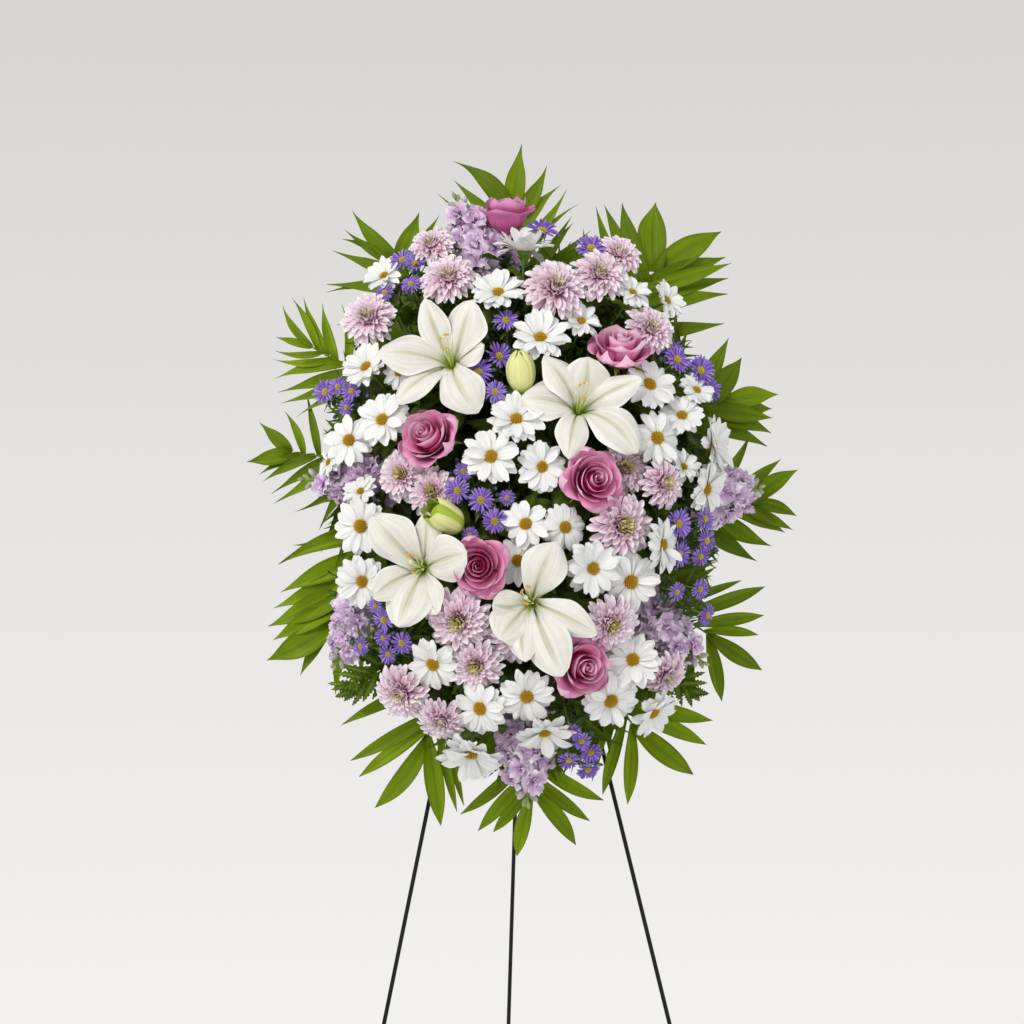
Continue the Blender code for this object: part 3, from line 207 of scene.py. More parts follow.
# piece, layer, rachis foot, bend and end, then leaflets in order round the frond: (place along the rachis, tip, width)
FRONDS = [
    ("frond_upper_left", 0, (488, 425), (445, 330), (398, 262),
     [(0.66, (336, 322), 10), (0.76, (325, 291), 9), (0.82, (326, 283), 13), (0.88, (333, 252), 12), (0.93, (338, 237), 10), (0.97, (344, 229), 10), (1.0, (352, 210), 14),
      (1.0, (419, 210), 18), (0.92, (440, 213), 11)]),
    ("frond_left_high", 2, (479, 445), (400, 395), (312, 347),
     [(0.60, (294, 417), 10), (0.68, (278, 403), 12), (0.75, (278, 392), 13), (0.82, (274, 378), 12), (0.88, (272, 359), 8), (0.94, (274, 350), 7), (1.0, (274, 336), 8),
      (1.0, (282, 303), 8), (0.96, (291, 296), 8), (0.91, (303, 295), 9), (0.86, (322, 301), 10), (0.80, (341, 303), 9)]),
    ("frond_left", 1, (478, 478), (385, 462), (291, 453),
     [(0.62, (294, 513), 11), (0.72, (273, 502), 12), (0.80, (271, 493), 10), (0.87, (262, 482), 10), (0.94, (259, 474), 9), (1.0, (246, 461), 16),
      (1.0, (259, 422), 13), (0.93, (284, 410), 8), (0.85, (306, 391), 8)]),
    ("frond_left_low", 3, (478, 514), (380, 520), (333, 622),
     [(0.66, (362, 680), 12), (0.84, (335, 694), 12), (1.0, (300, 676), 9), (1.0, (267, 661), 20), (0.92, (273, 641), 14), (0.80, (268, 627), 18), (0.68, (273, 608), 15), (0.57, (280, 593), 16),
      (0.43, (279, 566), 14), (0.28, (292, 546), 12)]),
    ("frond_bottom_left", 0, (494, 601), (470, 670), (428, 735),
     [(0.80, (464, 806), 9), (0.90, (457, 812), 10), (1.0, (441, 826), 20), (1.0, (375, 808), 20), (0.90, (359, 777), 15), (0.78, (350, 761), 15), (0.56, (341, 725), 14)]),
    ("frond_bottom", 2, (524, 601), (528, 700), (531, 796),
     [(0.80, (604, 800), 15), (0.88, (590, 821), 14), (0.96, (576, 845), 17), (1.0, (517, 856), 16), (0.95, (493, 832), 13), (0.88, (478, 831), 15), (0.78, (460, 814), 13)]),
    ("frond_bottom_right", 1, (553, 601), (596, 668), (632, 724),
     [(0.74, (713, 720), 18), (0.86, (707, 744), 17), (1.0, (693, 775), 22), (1.0, (628, 804), 15), (0.92, (603, 794), 13), (0.80, (592, 782), 7)]),
    ("frond_right_low", 3, (562, 566), (640, 588), (708, 634),
     [(0.70, (742, 580), 9), (0.80, (766, 585), 15), (0.90, (764, 615), 14), (0.97, (758, 635), 11), (1.0, (762, 670), 18), (1.0, (722, 701), 15), (0.86, (690, 700), 12)]),
    ("frond_right", 0, (562, 514), (655, 508), (748, 504),
     [(0.72, (751, 431), 9), (0.88, (782, 458), 10), (1.0, (798, 470), 15), (1.0, (798, 516), 11), (0.94, (794, 530), 10), (0.87, (786, 533), 13), (0.78, (772, 546), 15), (0.68, (758, 562), 15)]),
    ("frond_right_high", 2, (562, 462), (645, 420), (724, 404),
     [(0.74, (729, 337), 13), (0.88, (742, 357), 16), (1.0, (778, 395), 14), (0.95, (773, 407), 13), (0.88, (773, 419), 13), (0.80, (772, 432), 14), (0.71, (768, 445), 13)]),
    ("frond_upper_right", 1, (552, 425), (605, 345), (655, 272),
     [(0.74, (596, 202), 9), (0.84, (604, 206), 12), (0.92, (622, 203), 15), (1.0, (656, 200), 24), (1.0, (721, 232), 22), (0.94, (726, 256), 15), (0.87, (731, 265), 13), (0.79, (729, 276), 13), (0.70, (728, 293), 14), (0.58, (724, 324), 14)]),
    ("frond_top", 3, (520, 409), (516, 320), (512, 216),
     [(0.70, (437, 192), 11), (0.78, (449, 185), 8), (0.86, (452, 176), 14), (0.97, (453, 160), 19), (1.0, (522, 142), 20), (0.97, (547, 165), 16), (0.87, (561, 184), 14), (0.79, (567, 188), 11), (0.68, (581, 203), 9)]),
]
FERNS = [
    ("fern_low_left", 6, (482, 596), (430, 640), (352, 690),
     [(0.62, (392, 690), 12), (0.76, (372, 700), 12), (0.90, (352, 706), 12), (1.0, (335, 697), 11), (0.96, (327, 683), 12), (0.84, (333, 662), 12), (0.72, (345, 640), 12)]),
    ("fern_low_right", 6, (558, 590), (620, 640), (690, 690),
     [(0.60, (676, 636), 12), (0.74, (694, 652), 12), (0.88, (706, 672), 12), (1.0, (709, 694), 11), (0.96, (692, 708), 12), (0.84, (672, 706), 12), (0.70, (648, 694), 12)]),
]

# ---------------------------------------------------------------- setting out
ACROSS = Vector((1, 0, 0))
UP = Vector((0, sin(LEAN), cos(LEAN)))
OUT = Vector((0, -cos(LEAN), sin(LEAN)))


def world(s, t, n):
    return MID + ACROSS * s + UP * t + OUT * n


def seen(across, down, n):
    """The point of the plane n in front of the easel that the front elevation shows at (across, down)."""
    dx = (across - GRID_MID[0]) * GRID / SIGHT
    dz = (GRID_MID[1] - down) * GRID / SIGHT
    eye_n, eye_t = SIGHT * cos(LEAN), -SIGHT * sin(LEAN)
    ray_n = -cos(LEAN) + dz * sin(LEAN)
    ray_t = sin(LEAN) + dz * cos(LEAN)
    k = (n - eye_n) / ray_n
    return np.array([dx * k, eye_t + ray_t * k, n])


def unit(v):
    return v / np.linalg.norm(v)


class Head:
    def __init__(self, piece, flower, at, radius, turn, axis=None):
        self.piece, self.flower, self.at, self.r = piece, flower, at, radius
        self.turn, self.axis = turn, axis


SPRAY_MID = seen(520, 500, FACE_N)


def set_out():
    """Heads: each head is eased clear of its neighbours. The stems are eased clear of each other later, in stems()."""
    heads = []
    for piece, flower, across, down, radius, lift, turn in HEADS:
        r2 = min(1.0, ((across - 520) / 225) ** 2 + ((down - 500) / 320) ** 2)
        n = FACE_N + DOME_LOW + DOME_HIGH * sqrt(1 - r2) + lift / 1000
        at = seen(across, down, n)
        side = (at - SPRAY_MID)[:2] / np.array([0.27, 0.37])
        facing = unit(np.array([0.95 * side[0] + turn[0], 0.95 * side[1] + turn[1], 1.0]))
        heads.append(Head(piece, flower, at, radius * GRID * (SIGHT - n) / SIGHT, facing))
    for piece, foot, tip, radius, foot_mm, tip_mm in SPIKES:
        a, b = seen(*foot, FACE_N + foot_mm / 1000), seen(*tip, FACE_N + tip_mm / 1000)
        for k in range(4):
            at = a + (b - a) * (k + 0.35) / 4.1
            heads.append(Head(piece, "stock", at, radius * GRID * (1.0 - 0.12 * k) * 0.9, unit(b - a), (a, b)))
    at = np.array([h.at for h in heads])
    ball = np.array([h.r * BALL[h.flower] for h in heads])
    same = np.array([[a.piece == b.piece and a.flower == "stock" for b in heads] for a in heads])
    firm = np.array([h.flower == "stock" for h in heads])
    rest = at.copy()
    for _ in range(160):
        gap = at[:, None] - at[None]
        far = np.linalg.norm(gap, axis=2) + np.eye(len(heads))
        need = ball[:, None] + ball[None] + 0.0012 - far
        need[np.eye(len(heads), dtype=bool) | same] = 0
        need = np.clip(need, 0, None)
        push = gap * np.array([0.45, 0.45, 1.0])
        push[..., 2] += np.sign(gap[..., 2] + 1e-9) * 0.004
        push /= np.linalg.norm(push, axis=2, keepdims=True) + 1e-9
        move = (push * need[..., None] * 0.3).sum(1)
        move[firm] *= 0.0
        at += move + (rest - at) * 0.02
        at[:, 2] = np.maximum(at[:, 2], FACE_N + 0.020)
    for h, p in zip(heads, at):
        h.at = p
    return heads


heads = set_out()
pieces = {}
for h in heads:
    pieces.setdefault(h.piece, []).append(h)


def sockets():
    """Each stem's place on the foam's face, from a grid that leaves the cage's bars clear."""
    places = [(s * 0.018, t * 0.019) for s in range(-2, 3) for t in range(-5, 6)]
    want = {}
    for piece, own in pieces.items():
        middle = np.mean([h.at for h in own], axis=0) - SPRAY_MID
        want[piece] = (middle[0] * 0.14, middle[1] * 0.27)
    free, got = list(places), {}
    for piece in sorted(want, key=lambda p: -abs(want[p][0]) - abs(want[p][1])):
        best = min(free, key=lambda q: (q[0] - want[piece][0]) ** 2 + (q[1] - want[piece][1]) ** 2)
        free.remove(best)
        got[piece] = best
    names = sorted(got)
    cost = lambda p, q: (q[0] - want[p][0]) ** 2 + (q[1] - want[p][1]) ** 2
    for _ in range(6):
        for i, a in enumerate(names):
            for b in names[i + 1 :]:
                if cost(a, got[b]) + cost(b, got[a]) < cost(a, got[a]) + cost(b, got[b]) - 1e-9:
                    got[a], got[b] = got[b], got[a]
    return got


socket = sockets()


def closest(p, q, r, s):
    """Nearest points of many pairs of lines, as places 0..1 along each, and the step between them."""
    d1, d2, w = q - p, s - r, p - r
    a, e = (d1 * d1).sum(-1), (d2 * d2).sum(-1)
    b, c, f = (d1 * d2).sum(-1), (d1 * w).sum(-1), (d2 * w).sum(-1)
    den = a * e - b * b
    u = np.clip(np.where(den > 1e-14, (b * f - c * e) / np.maximum(den, 1e-14), 0.5), 0, 1)
    v = np.clip((b * u + f) / np.maximum(e, 1e-14), 0, 1)
    u = np.clip((b * v - c) / np.maximum(a, 1e-14), 0, 1)
    return u, v, (p + d1 * u[..., None]) - (r + d2 * v[..., None])


def stems():
    """points, free flags, segments (piece, from, to, radius) and the point lists that each head's branch follows."""
    points, loose, parts, runs = [], [], [], {}

    def add(p, moves):
        points.append(np.array(p, float))
        loose.append(moves)
        return len(points) - 1

    for name, own in pieces.items():
        s, t = socket[name]
        s, t = s + FOAM_MID[0], t + FOAM_MID[1]
        first = add((s, t, FACE_N - SOCKET_DEEP + 0.001), False)
        second = add((s, t, FACE_N + 0.007), False)
        if own[0].flower == "stock":
            a, b = own[0].axis
            ends = [(own[0], a, unit(b - a))]
            ends = [(own[0], a + unit(b - a) * 0.004, unit(b - a))]
        else:
            ends = [(h, h.at - h.turn * h.r * NECK[h.flower], h.turn) for h in own]
        elbows = [base - facing * min(0.035, 0.3 * np.linalg.norm(base - points[second])) for _, base, facing in ends]
        fork = points[second] + (np.mean(elbows, axis=0) - points[second]) * (0.42 if len(ends) > 1 else 0.5)
        third = add(fork, True)
        trunk = STEM_R[own[0].flower] * (1.35 if len(ends) > 1 else 1.0)
        parts += [(name, first, second, trunk), (name, second, third, trunk)]
        runs[name] = {"trunk": [first, second, third], "trunk_r": trunk, "branches": []}
        for (h, base, facing), elbow in zip(ends, elbows):
            r = STEM_R["lily" if h.flower == "bud" else h.flower] * (0.8 if h.flower == "bud" else 1.0)
            fourth, fifth = add(elbow, True), add(base, False)
            parts += [(name, third, fourth, r), (name, fourth, fifth, r)]
            runs[name]["branches"].append((h, [third, fourth, fifth], r))
    P = np.array(points)
    free = np.array(loose)
    names = sorted(pieces)
    who = np.array([names.index(x[0]) for x in parts])
    i0, i1 = np.array([x[1] for x in parts]), np.array([x[2] for x in parts])
    R = np.array([x[3] for x in parts])
    home = P.copy()
    A, B = np.triu_indices(len(parts), 1)
    keep = who[A] != who[B]
    A, B = A[keep], B[keep]
    ball_at = np.array([h.at for h in heads])
    ball_r = np.array([h.r * (0.62 if h.flower in ("daisy", "aster") else 0.78 if h.flower in ("rose", "mum") else 0.40 if h.flower == "lily" else 1.08) for h in heads])
    ball_who = np.array([names.index(h.piece) for h in heads])
    SA, HB = [g.ravel() for g in np.meshgrid(np.arange(len(parts)), np.arange(len(heads)), indexing="ij")]
    keep = who[SA] != ball_who[HB]
    SA, HB = SA[keep], HB[keep]
    for turn in range(500):
        move, load = np.zeros_like(P), np.zeros(len(P))
        u, v, step = closest(P[i0[A]], P[i1[A]], P[i0[B]], P[i1[B]])
        far = np.linalg.norm(step, axis=1)
        need = R[A] + R[B] + 0.0014 - far
        hit = need > 0
        push = step[hit] / np.maximum(far[hit], 1e-6)[:, None] * need[hit][:, None] * 0.5
        for idx, w, sign in ((i0[A[hit]], 1 - u[hit], 1), (i1[A[hit]], u[hit], 1), (i0[B[hit]], 1 - v[hit], -1), (i1[B[hit]], v[hit], -1)):
            np.add.at(move, idx, push * (w * sign)[:, None] * 1.6)
        c = ball_at[HB]
        p, q = P[i0[SA]], P[i1[SA]]
        d = q - p
        k = np.clip(((c - p) * d).sum(1) / np.maximum((d * d).sum(1), 1e-12), 0, 1)
        step = p + d * k[:, None] - c
        far = np.linalg.norm(step, axis=1)
        need = ball_r[HB] + R[SA] + 0.0010 - far
        hit = need > 0
        push = step[hit] / np.maximum(far[hit], 1e-6)[:, None] * need[hit][:, None]
        for idx, w in ((i0[SA[hit]], 1 - k[hit]), (i1[SA[hit]], k[hit])):
            np.add.at(move, idx, push * w[:, None])
        size = np.linalg.norm(move, axis=1)
        move *= np.minimum(1, 0.004 / np.maximum(size, 1e-9))[:, None]
        P[free] += move[free] + (home - P)[free] * 0.002
        low = free & (P[:, 2] < FACE_N + 0.010)
        P[low, 2] = FACE_N + 0.010
    return P, runs


P, runs = stems()

# ---------------------------------------------------------------- drawing helpers, all in the spray's own axes
BASIS = np.array([ACROSS, UP, OUT])
ORIGIN = np.array(MID)


def lin(r, g, b):
    """A linear colour from its screen values, 0 to 255."""
    c = np.array([r, g, b]) / 255
    return np.where(c < 0.04045, c / 12.92, ((c + 0.055) / 1.055) ** 2.4)


def norm(v):
    return v / np.maximum(np.linalg.norm(v, axis=-1, keepdims=True), 1e-12)


def ease(x, a, b):
    """0 before a, 1 after b, smooth between."""
    x = np.clip((x - a) / (b - a), 0, 1)
    return x * x * (3 - 2 * x)


def mixed(c0, c1, w):
    """Colour c0 where w is 0 and c1 where it is 1."""
    w = np.asarray(w)[..., None]
    return c0 * (1 - w) + c1 * w


def shape(table):
    """A smooth outline through (place, width) pairs."""
    xs, ys = np.array(table, float).T

    def at(v):
        v = np.clip(v, xs[0], xs[-1])
        i = np.clip(np.searchsorted(xs, v) - 1, 0, len(xs) - 2)
        slope = np.gradient(ys, xs)
        h = xs[i + 1] - xs[i]
        t = (v - xs[i]) / h
        return ((2 * t**3 - 3 * t**2 + 1) * ys[i] + (t**3 - 2 * t**2 + t) * h * slope[i] + (3 * t**2 - 2 * t**3) * ys[i + 1] + (t**3 - t**2) * h * slope[i + 1])

    return at


def arc(e0, e1, length, v):
    """Way out and up along a line of this length that leaves at the angle e0 and ends at e1, in radians."""
    d = e1 - e0
    d = np.where(np.abs(d) < 1e-4, 1e-4, d)
    return length * (np.sin(e0 + d * v) - np.sin(e0)) / d, length * (np.cos(e0) - np.cos(e0 + d * v)) / d


def sweep(at, out, up, r, z, s, off):
    """Grids from a line that goes r out and z up, s to the side and off its own upper face."""
    side = np.cross(up, out)
    dr, dz = np.gradient(r, axis=1), np.gradient(z, axis=1)
    n = np.hypot(dr, dz) + 1e-12
    r, z = r - dz / n * off, z + dr / n * off
    grid = lambda v: v[:, None, None, :]
    return grid(at) + grid(out) * r[..., None] + grid(up) * z[..., None] + grid(side) * s[..., None]


def col(x, k):
    """One number for each of k patches, ready to spread over its grid."""
    return np.broadcast_to(np.asarray(x, float), (k,)).reshape(k, 1, 1)


def places(rows, cols):
    return np.linspace(0, 1, rows)[None, :, None], np.linspace(-1, 1, cols)[None, None, :]


class Piece:
    """Grid patches gathered into one mesh, each with its colour, its place on the petal and its place in the bake map."""

    def __init__(self, node):
        self.node, self.batches = node, []
        self.rng = np.random.default_rng(sum(ord(c) * (7 + i * i) for i, c in enumerate(node)))

    def add(self, grid, tint, skin, weight=1.0):
        grid = np.asarray(grid, float)
        grid = grid[None] if grid.ndim == 3 else grid
        self.batches.append((grid, np.broadcast_to(tint, grid.shape).astype(np.float32), skin, weight))

    def build(self, suffix, body="stand", nodes=None):
        verts, quads, mats, tints, pats, sizes, shares = [], [], [], [], [], [], []
        skins = []
        base = 0
        for grid, tint, skin, weight in self.batches:
            k, rows, cols = grid.shape[:3]
            if skin not in skins:
                skins.append(skin)
            ids = base + np.arange(k * rows * cols).reshape(k, rows, cols)
            q = np.stack([ids[:, :-1, :-1], ids[:, 1:, :-1], ids[:, 1:, 1:], ids[:, :-1, 1:]], -1).reshape(-1, 4)
            quads.append(q)
            mats.append(np.full(len(q), skins.index(skin)))
            verts.append(grid.reshape(-1, 3) @ BASIS + ORIGIN)
            tints.append(tint.reshape(-1, 3))
            v, u = np.meshgrid(np.linspace(0, 1, rows), np.linspace(0, 1, cols), indexing="ij")
            seed = self.rng.random(k)
            pats.append(np.stack([np.broadcast_to(u, (k, rows, cols)), np.broadcast_to(v, (k, rows, cols)), np.broadcast_to(seed[:, None, None], (k, rows, cols))], -1).reshape(-1, 3))
            wide = np.linalg.norm(np.diff(grid, axis=2), axis=-1).sum(2).max(1)
            high = np.linalg.norm(np.diff(grid, axis=1), axis=-1).sum(1).max(1)
            sizes += list(zip(np.maximum(wide, 0.0015) * weight, np.maximum(high, 0.0015) * weight))
            shares.append((k, rows, cols))
            base += k * rows * cols
        cells = laid_out(sizes)
        verts, quads, mats = np.concatenate(verts), np.concatenate(quads), np.concatenate(mats)
        tints, pats = np.concatenate(tints), np.concatenate(pats)
        uv, first = np.empty((len(verts), 2)), 0
        row = 0
        for k, rows, cols in shares:
            own = cells[row : row + k]
            row += k
            m = k * rows * cols
            p = pats[first : first + m, :2].reshape(k, rows * cols, 2)
            x0, y0, w, h, turned_ = own.T
            a = np.where(turned_[:, None] > 0, p[..., 1], p[..., 0])
            b = np.where(turned_[:, None] > 0, p[..., 0], p[..., 1])
            uv[first : first + m] = np.stack([x0[:, None] + a * w[:, None], y0[:, None] + b * h[:, None]], -1).reshape(-1, 2)
            first += m
        mesh = bpy.data.meshes.new(self.node + suffix)
        mesh.vertices.add(len(verts))
        mesh.vertices.foreach_set("co", verts.astype(np.float32).ravel())
        mesh.loops.add(len(quads) * 4)
        mesh.loops.foreach_set("vertex_index", quads.ravel().astype(np.int32))
        mesh.polygons.add(len(quads))
        mesh.polygons.foreach_set("loop_start", np.arange(0, len(quads) * 4, 4, dtype=np.int32))
        mesh.polygons.foreach_set("material_index", mats.astype(np.int32))
        mesh.update(calc_edges=True)
        mesh.attributes.new("tint", "FLOAT_COLOR", "POINT").data.foreach_set("color", np.column_stack([tints, np.ones(len(tints))]).astype(np.float32).ravel())
        mesh.attributes.new("pat", "FLOAT_VECTOR", "POINT").data.foreach_set("vector", pats.astype(np.float32).ravel())
        mesh.uv_layers.new(name="OFBake").data.foreach_set("uv", uv[quads.ravel()].astype(np.float32).ravel())
        for skin in skins:
            mesh.materials.append(MATERIALS[skin])
        mesh.shade_smooth()
        obj = bpy.data.objects.new(self.node + suffix, mesh)
        bpy.context.scene.collection.objects.link(obj)
        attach(obj, body)
        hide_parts(*(nodes or [self.node]))
        return obj


def laid_out(sizes):
    """Each patch's place in the unit square, on shelves: low corner, width, height, and 1 where it lies on its side."""
    sizes = np.array(sizes)
    flat = sizes[:, 1] > sizes[:, 0]
    w, h = sizes.max(1), sizes.min(1)
    w = np.minimum(w, 0.9 * max(sqrt((w * h).sum()), 1e-4))
    order = np.lexsort((-w, -h))
    low, high = 0.0, 1.0 / w.max()
    best = None
    for _ in range(14):
        scale = (low + high) / 2 if best is not None else high * 0.98 if _ == 0 else (low + high) / 2
        x = y = tall = 0.0
        spots = np.empty((len(w), 2))
        fits = True
        for i in order:
            a, b = w[i] * scale + 0.002, h[i] * scale + 0.002
            if x + a > 1.0:
                x, y, tall = 0.0, y + tall, 0.0
            if tall == 0.0:
                tall = b
                if y + b > 1.0:
                    fits = False
                    break
            spots[i] = (x, y)
            x += a
        if fits:
            best, low = (spots, scale), scale
        else:
            high = scale
    if best is None:
        best = (np.zeros((len(w), 2)), low)
    spots, scale = best
    return np.column_stack([spots + 0.001, w * scale, h * scale, flat])


def rounded(points, share=0.35, steps=4):
    """The polyline with its corners eased."""
    points = [np.array(p, float) for p in points]
    out = [points[0]]
    for a, b, c in zip(points, points[1:], points[2:]):
        p, q = b + (a - b) * share, b + (c - b) * share
        for k in range(steps + 1):
            x = k / steps
            out.append(p * (1 - x) ** 2 + b * 2 * x * (1 - x) + q * x * x)
    return np.array(out + [points[-1]])


def tube(path, radius, sides=8):
    path = np.asarray(path, float)
    radius = np.broadcast_to(radius, (len(path),))
    way = norm(np.gradient(path, axis=0))
    n = np.cross(way[0], [0.3, 0.5, 0.81])
    n = n / np.linalg.norm(n)
    rows = []
    for p, t, r in zip(path, way, radius):
        n = n - t * (n @ t)
        n = n / np.linalg.norm(n)
        b = np.cross(t, n)
        a = -np.linspace(0, 2 * pi, sides + 1)[:, None]
        rows.append(p + (n * np.cos(a) + b * np.sin(a)) * r)
    return np.array(rows)


def lathe(at, axis, profile, sides=12, swell=None):
    """Turned about the axis from (radius, height) pairs, foot to crown."""
    axis = norm(axis)
    x = norm(np.cross([0.2, 1.0, 0.1], axis))
    y = np.cross(axis, x)
    a = -np.linspace(0, 2 * pi, sides + 1)[:, None]
    ring = x * np.cos(a) + y * np.sin(a)
    grow = 1.0 if swell is None else swell(a)
    return np.array([at + axis * h + ring * r * grow for r, h in profile])


def frame_of(h):
    """A head's own axes: x to the right and y up as seen from the front, z the way it faces."""
    z = norm(h.turn)
    x = np.array([1.0, 0, 0])
    x = norm(x - z * (x @ z)) if abs(z[0]) < 0.95 else norm(np.cross([0, 1.0, 0], z))
    return x, np.cross(z, x), z


def spokes(h, phi, lift=0.0):
    """Origins, outward ways and axes of petals set round a head at the angles phi."""
    x, y, z = frame_of(h)
    phi = np.asarray(phi)
    out = x * np.cos(phi)[:, None] + y * np.sin(phi)[:, None]
    k = len(phi)
    at = np.broadcast_to(h.at + z * lift, (k, 3))
    return at, out, np.broadcast_to(z, (k, 3))


def blades(at, way, up, length, half, outline, rows=8, cols=3, e0=0.3, e1=-0.5, fold=0.3, bow=0.0, wave=0.0, phase=0.0, ribs=0.0):
    """Leaves or petals from their feet: length and half width in metres, e0 and e1 the lift at foot and tip."""
    k = len(at)
    way = norm(way)
    up = norm(up - way * (up * way).sum(-1, keepdims=True))
    v, u = places(rows, cols)
    length, half = col(length, k), col(half, k)
    r, z = arc(col(e0, k), col(e1, k), length, v * np.ones_like(u))
    w = half * outline(v)
    s = w * u + col(bow, k) * length * 4 * v * (1 - v)
    off = col(fold, k) * w * np.abs(u) ** 1.3 + col(wave, k) * half * u * np.sin(9 * v + col(phase, k)) + ribs * half * np.cos(u * 7.5)
    return sweep(at, way, up, r, z, s + 0 * v, off)


# ---------------------------------------------------------------- materials
def skin_material(name, rough, veins=0.0, vein_count=14.0, mottle=0.05, mottle_size=90.0, depth=0.0, soft=0.0, coat=0.0, soft_colour=(1, 0.6, 0.4), shine=0.3):
    """Living tissue: its painted tint, with fine lines that run along each petal or blade, and a slight mottling."""
    made = bpy.data.materials.new(name)
    made.use_nodes = True
    n, link = made.node_tree.nodes, made.node_tree.links
    bsdf = n["Principled BSDF"]
    bsdf.inputs["Roughness"].default_value = rough
    bsdf.inputs["Subsurface Weight"].default_value = soft
    bsdf.inputs["Subsurface Radius"].default_value = soft_colour
    bsdf.inputs["Subsurface Scale"].default_value = 0.003
    bsdf.inputs["Coat Weight"].default_value = coat
    bsdf.inputs["Specular IOR Level"].default_value = shine
    tint = n.new("ShaderNodeAttribute")
    tint.attribute_name = "tint"
    pat = n.new("ShaderNodeAttribute")
    pat.attribute_name = "pat"
    stretch = n.new("ShaderNodeMapping")
    stretch.inputs["Scale"].default_value = (vein_count, 0.9, 37.0)
    link.new(pat.outputs["Vector"], stretch.inputs["Vector"])
    lines = n.new("ShaderNodeTexNoise")
    lines.inputs["Scale"].default_value = 1.0
    lines.inputs["Detail"].default_value = 3.0
    lines.inputs["Roughness"].default_value = 0.6
    link.new(stretch.outputs["Vector"], lines.inputs["Vector"])
    shade = n.new("ShaderNodeMapRange")
    shade.inputs["From Min"].default_value = 0.36
    shade.inputs["From Max"].default_value = 0.64
    shade.inputs["To Min"].default_value = 1.0 - veins
    shade.inputs["To Max"].default_value = 1.0 + veins * 0.4
    link.new(lines.outputs["Fac"], shade.inputs["Value"])
    where = n.new("ShaderNodeTexCoord")
    spots = n.new("ShaderNodeTexNoise")
    spots.inputs["Scale"].default_value = mottle_size
    spots.inputs["Detail"].default_value = 4.0
    link.new(where.outputs["Object"], spots.inputs["Vector"])
    patchy = n.new("ShaderNodeMapRange")
    patchy.inputs["From Min"].default_value = 0.3
    patchy.inputs["From Max"].default_value = 0.7
    patchy.inputs["To Min"].default_value = 1.0 - mottle
    patchy.inputs["To Max"].default_value = 1.0 + mottle
    link.new(spots.outputs["Fac"], patchy.inputs["Value"])
    both = n.new("ShaderNodeMath")
    both.operation = "MULTIPLY"
    link.new(shade.outputs["Result"], both.inputs[0])
    link.new(patchy.outputs["Result"], both.inputs[1])
    paint = n.new("ShaderNodeVectorMath")
    paint.operation = "SCALE"
    link.new(tint.outputs["Color"], paint.inputs[0])
    link.new(both.outputs["Value"], paint.inputs["Scale"])
    link.new(paint.outputs["Vector"], bsdf.inputs["Base Color"])
    if depth:
        bump = n.new("ShaderNodeBump")
        bump.inputs["Strength"].default_value = 0.6
        bump.inputs["Distance"].default_value = depth
        link.new(lines.outputs["Fac"], bump.inputs["Height"])
        link.new(bump.outputs["Normal"], bsdf.inputs["Normal"])
    return made


def solid_material(name, colour, rough, metal=0.0, coat=0.0, size=300.0, amount=0.25, depth=0.0, cells=False, shine=0.5):
    """Wire enamel, moulded plastic or foam: a grain of this size in its colour and its relief."""
    made = bpy.data.materials.new(name)
    made.use_nodes = True
    n, link = made.node_tree.nodes, made.node_tree.links
    bsdf = n["Principled BSDF"]
    bsdf.inputs["Roughness"].default_value = rough
    bsdf.inputs["Metallic"].default_value = metal
    bsdf.inputs["Coat Weight"].default_value = coat
    bsdf.inputs["Coat Roughness"].default_value = 0.2
    bsdf.inputs["Specular IOR Level"].default_value = shine
    where = n.new("ShaderNodeTexCoord")
    if cells:
        grain = n.new("ShaderNodeTexVoronoi")
        grain.inputs["Scale"].default_value = size
        out = grain.outputs["Distance"]
    else:
        grain = n.new("ShaderNodeTexNoise")
        grain.inputs["Scale"].default_value = size
        grain.inputs["Detail"].default_value = 5.0
        out = grain.outputs["Fac"]
    link.new(where.outputs["Object"], grain.inputs["Vector"])
    ramp = n.new("ShaderNodeValToRGB")
    c = np.array(colour)
    ramp.color_ramp.elements[0].position = 0.25
    ramp.color_ramp.elements[0].color = (*(c * (1 - amount)), 1)
    ramp.color_ramp.elements[1].position = 0.75
    ramp.color_ramp.elements[1].color = (*np.minimum(c * (1 + amount), 1), 1)
    link.new(out, ramp.inputs["Fac"])
    link.new(ramp.outputs["Color"], bsdf.inputs["Base Color"])
    if depth:
        bump = n.new("ShaderNodeBump")
        bump.inputs["Strength"].default_value = 0.5
        bump.inputs["Distance"].default_value = depth
        link.new(out, bump.inputs["Height"])
        link.new(bump.outputs["Normal"], bsdf.inputs["Normal"])
    return made


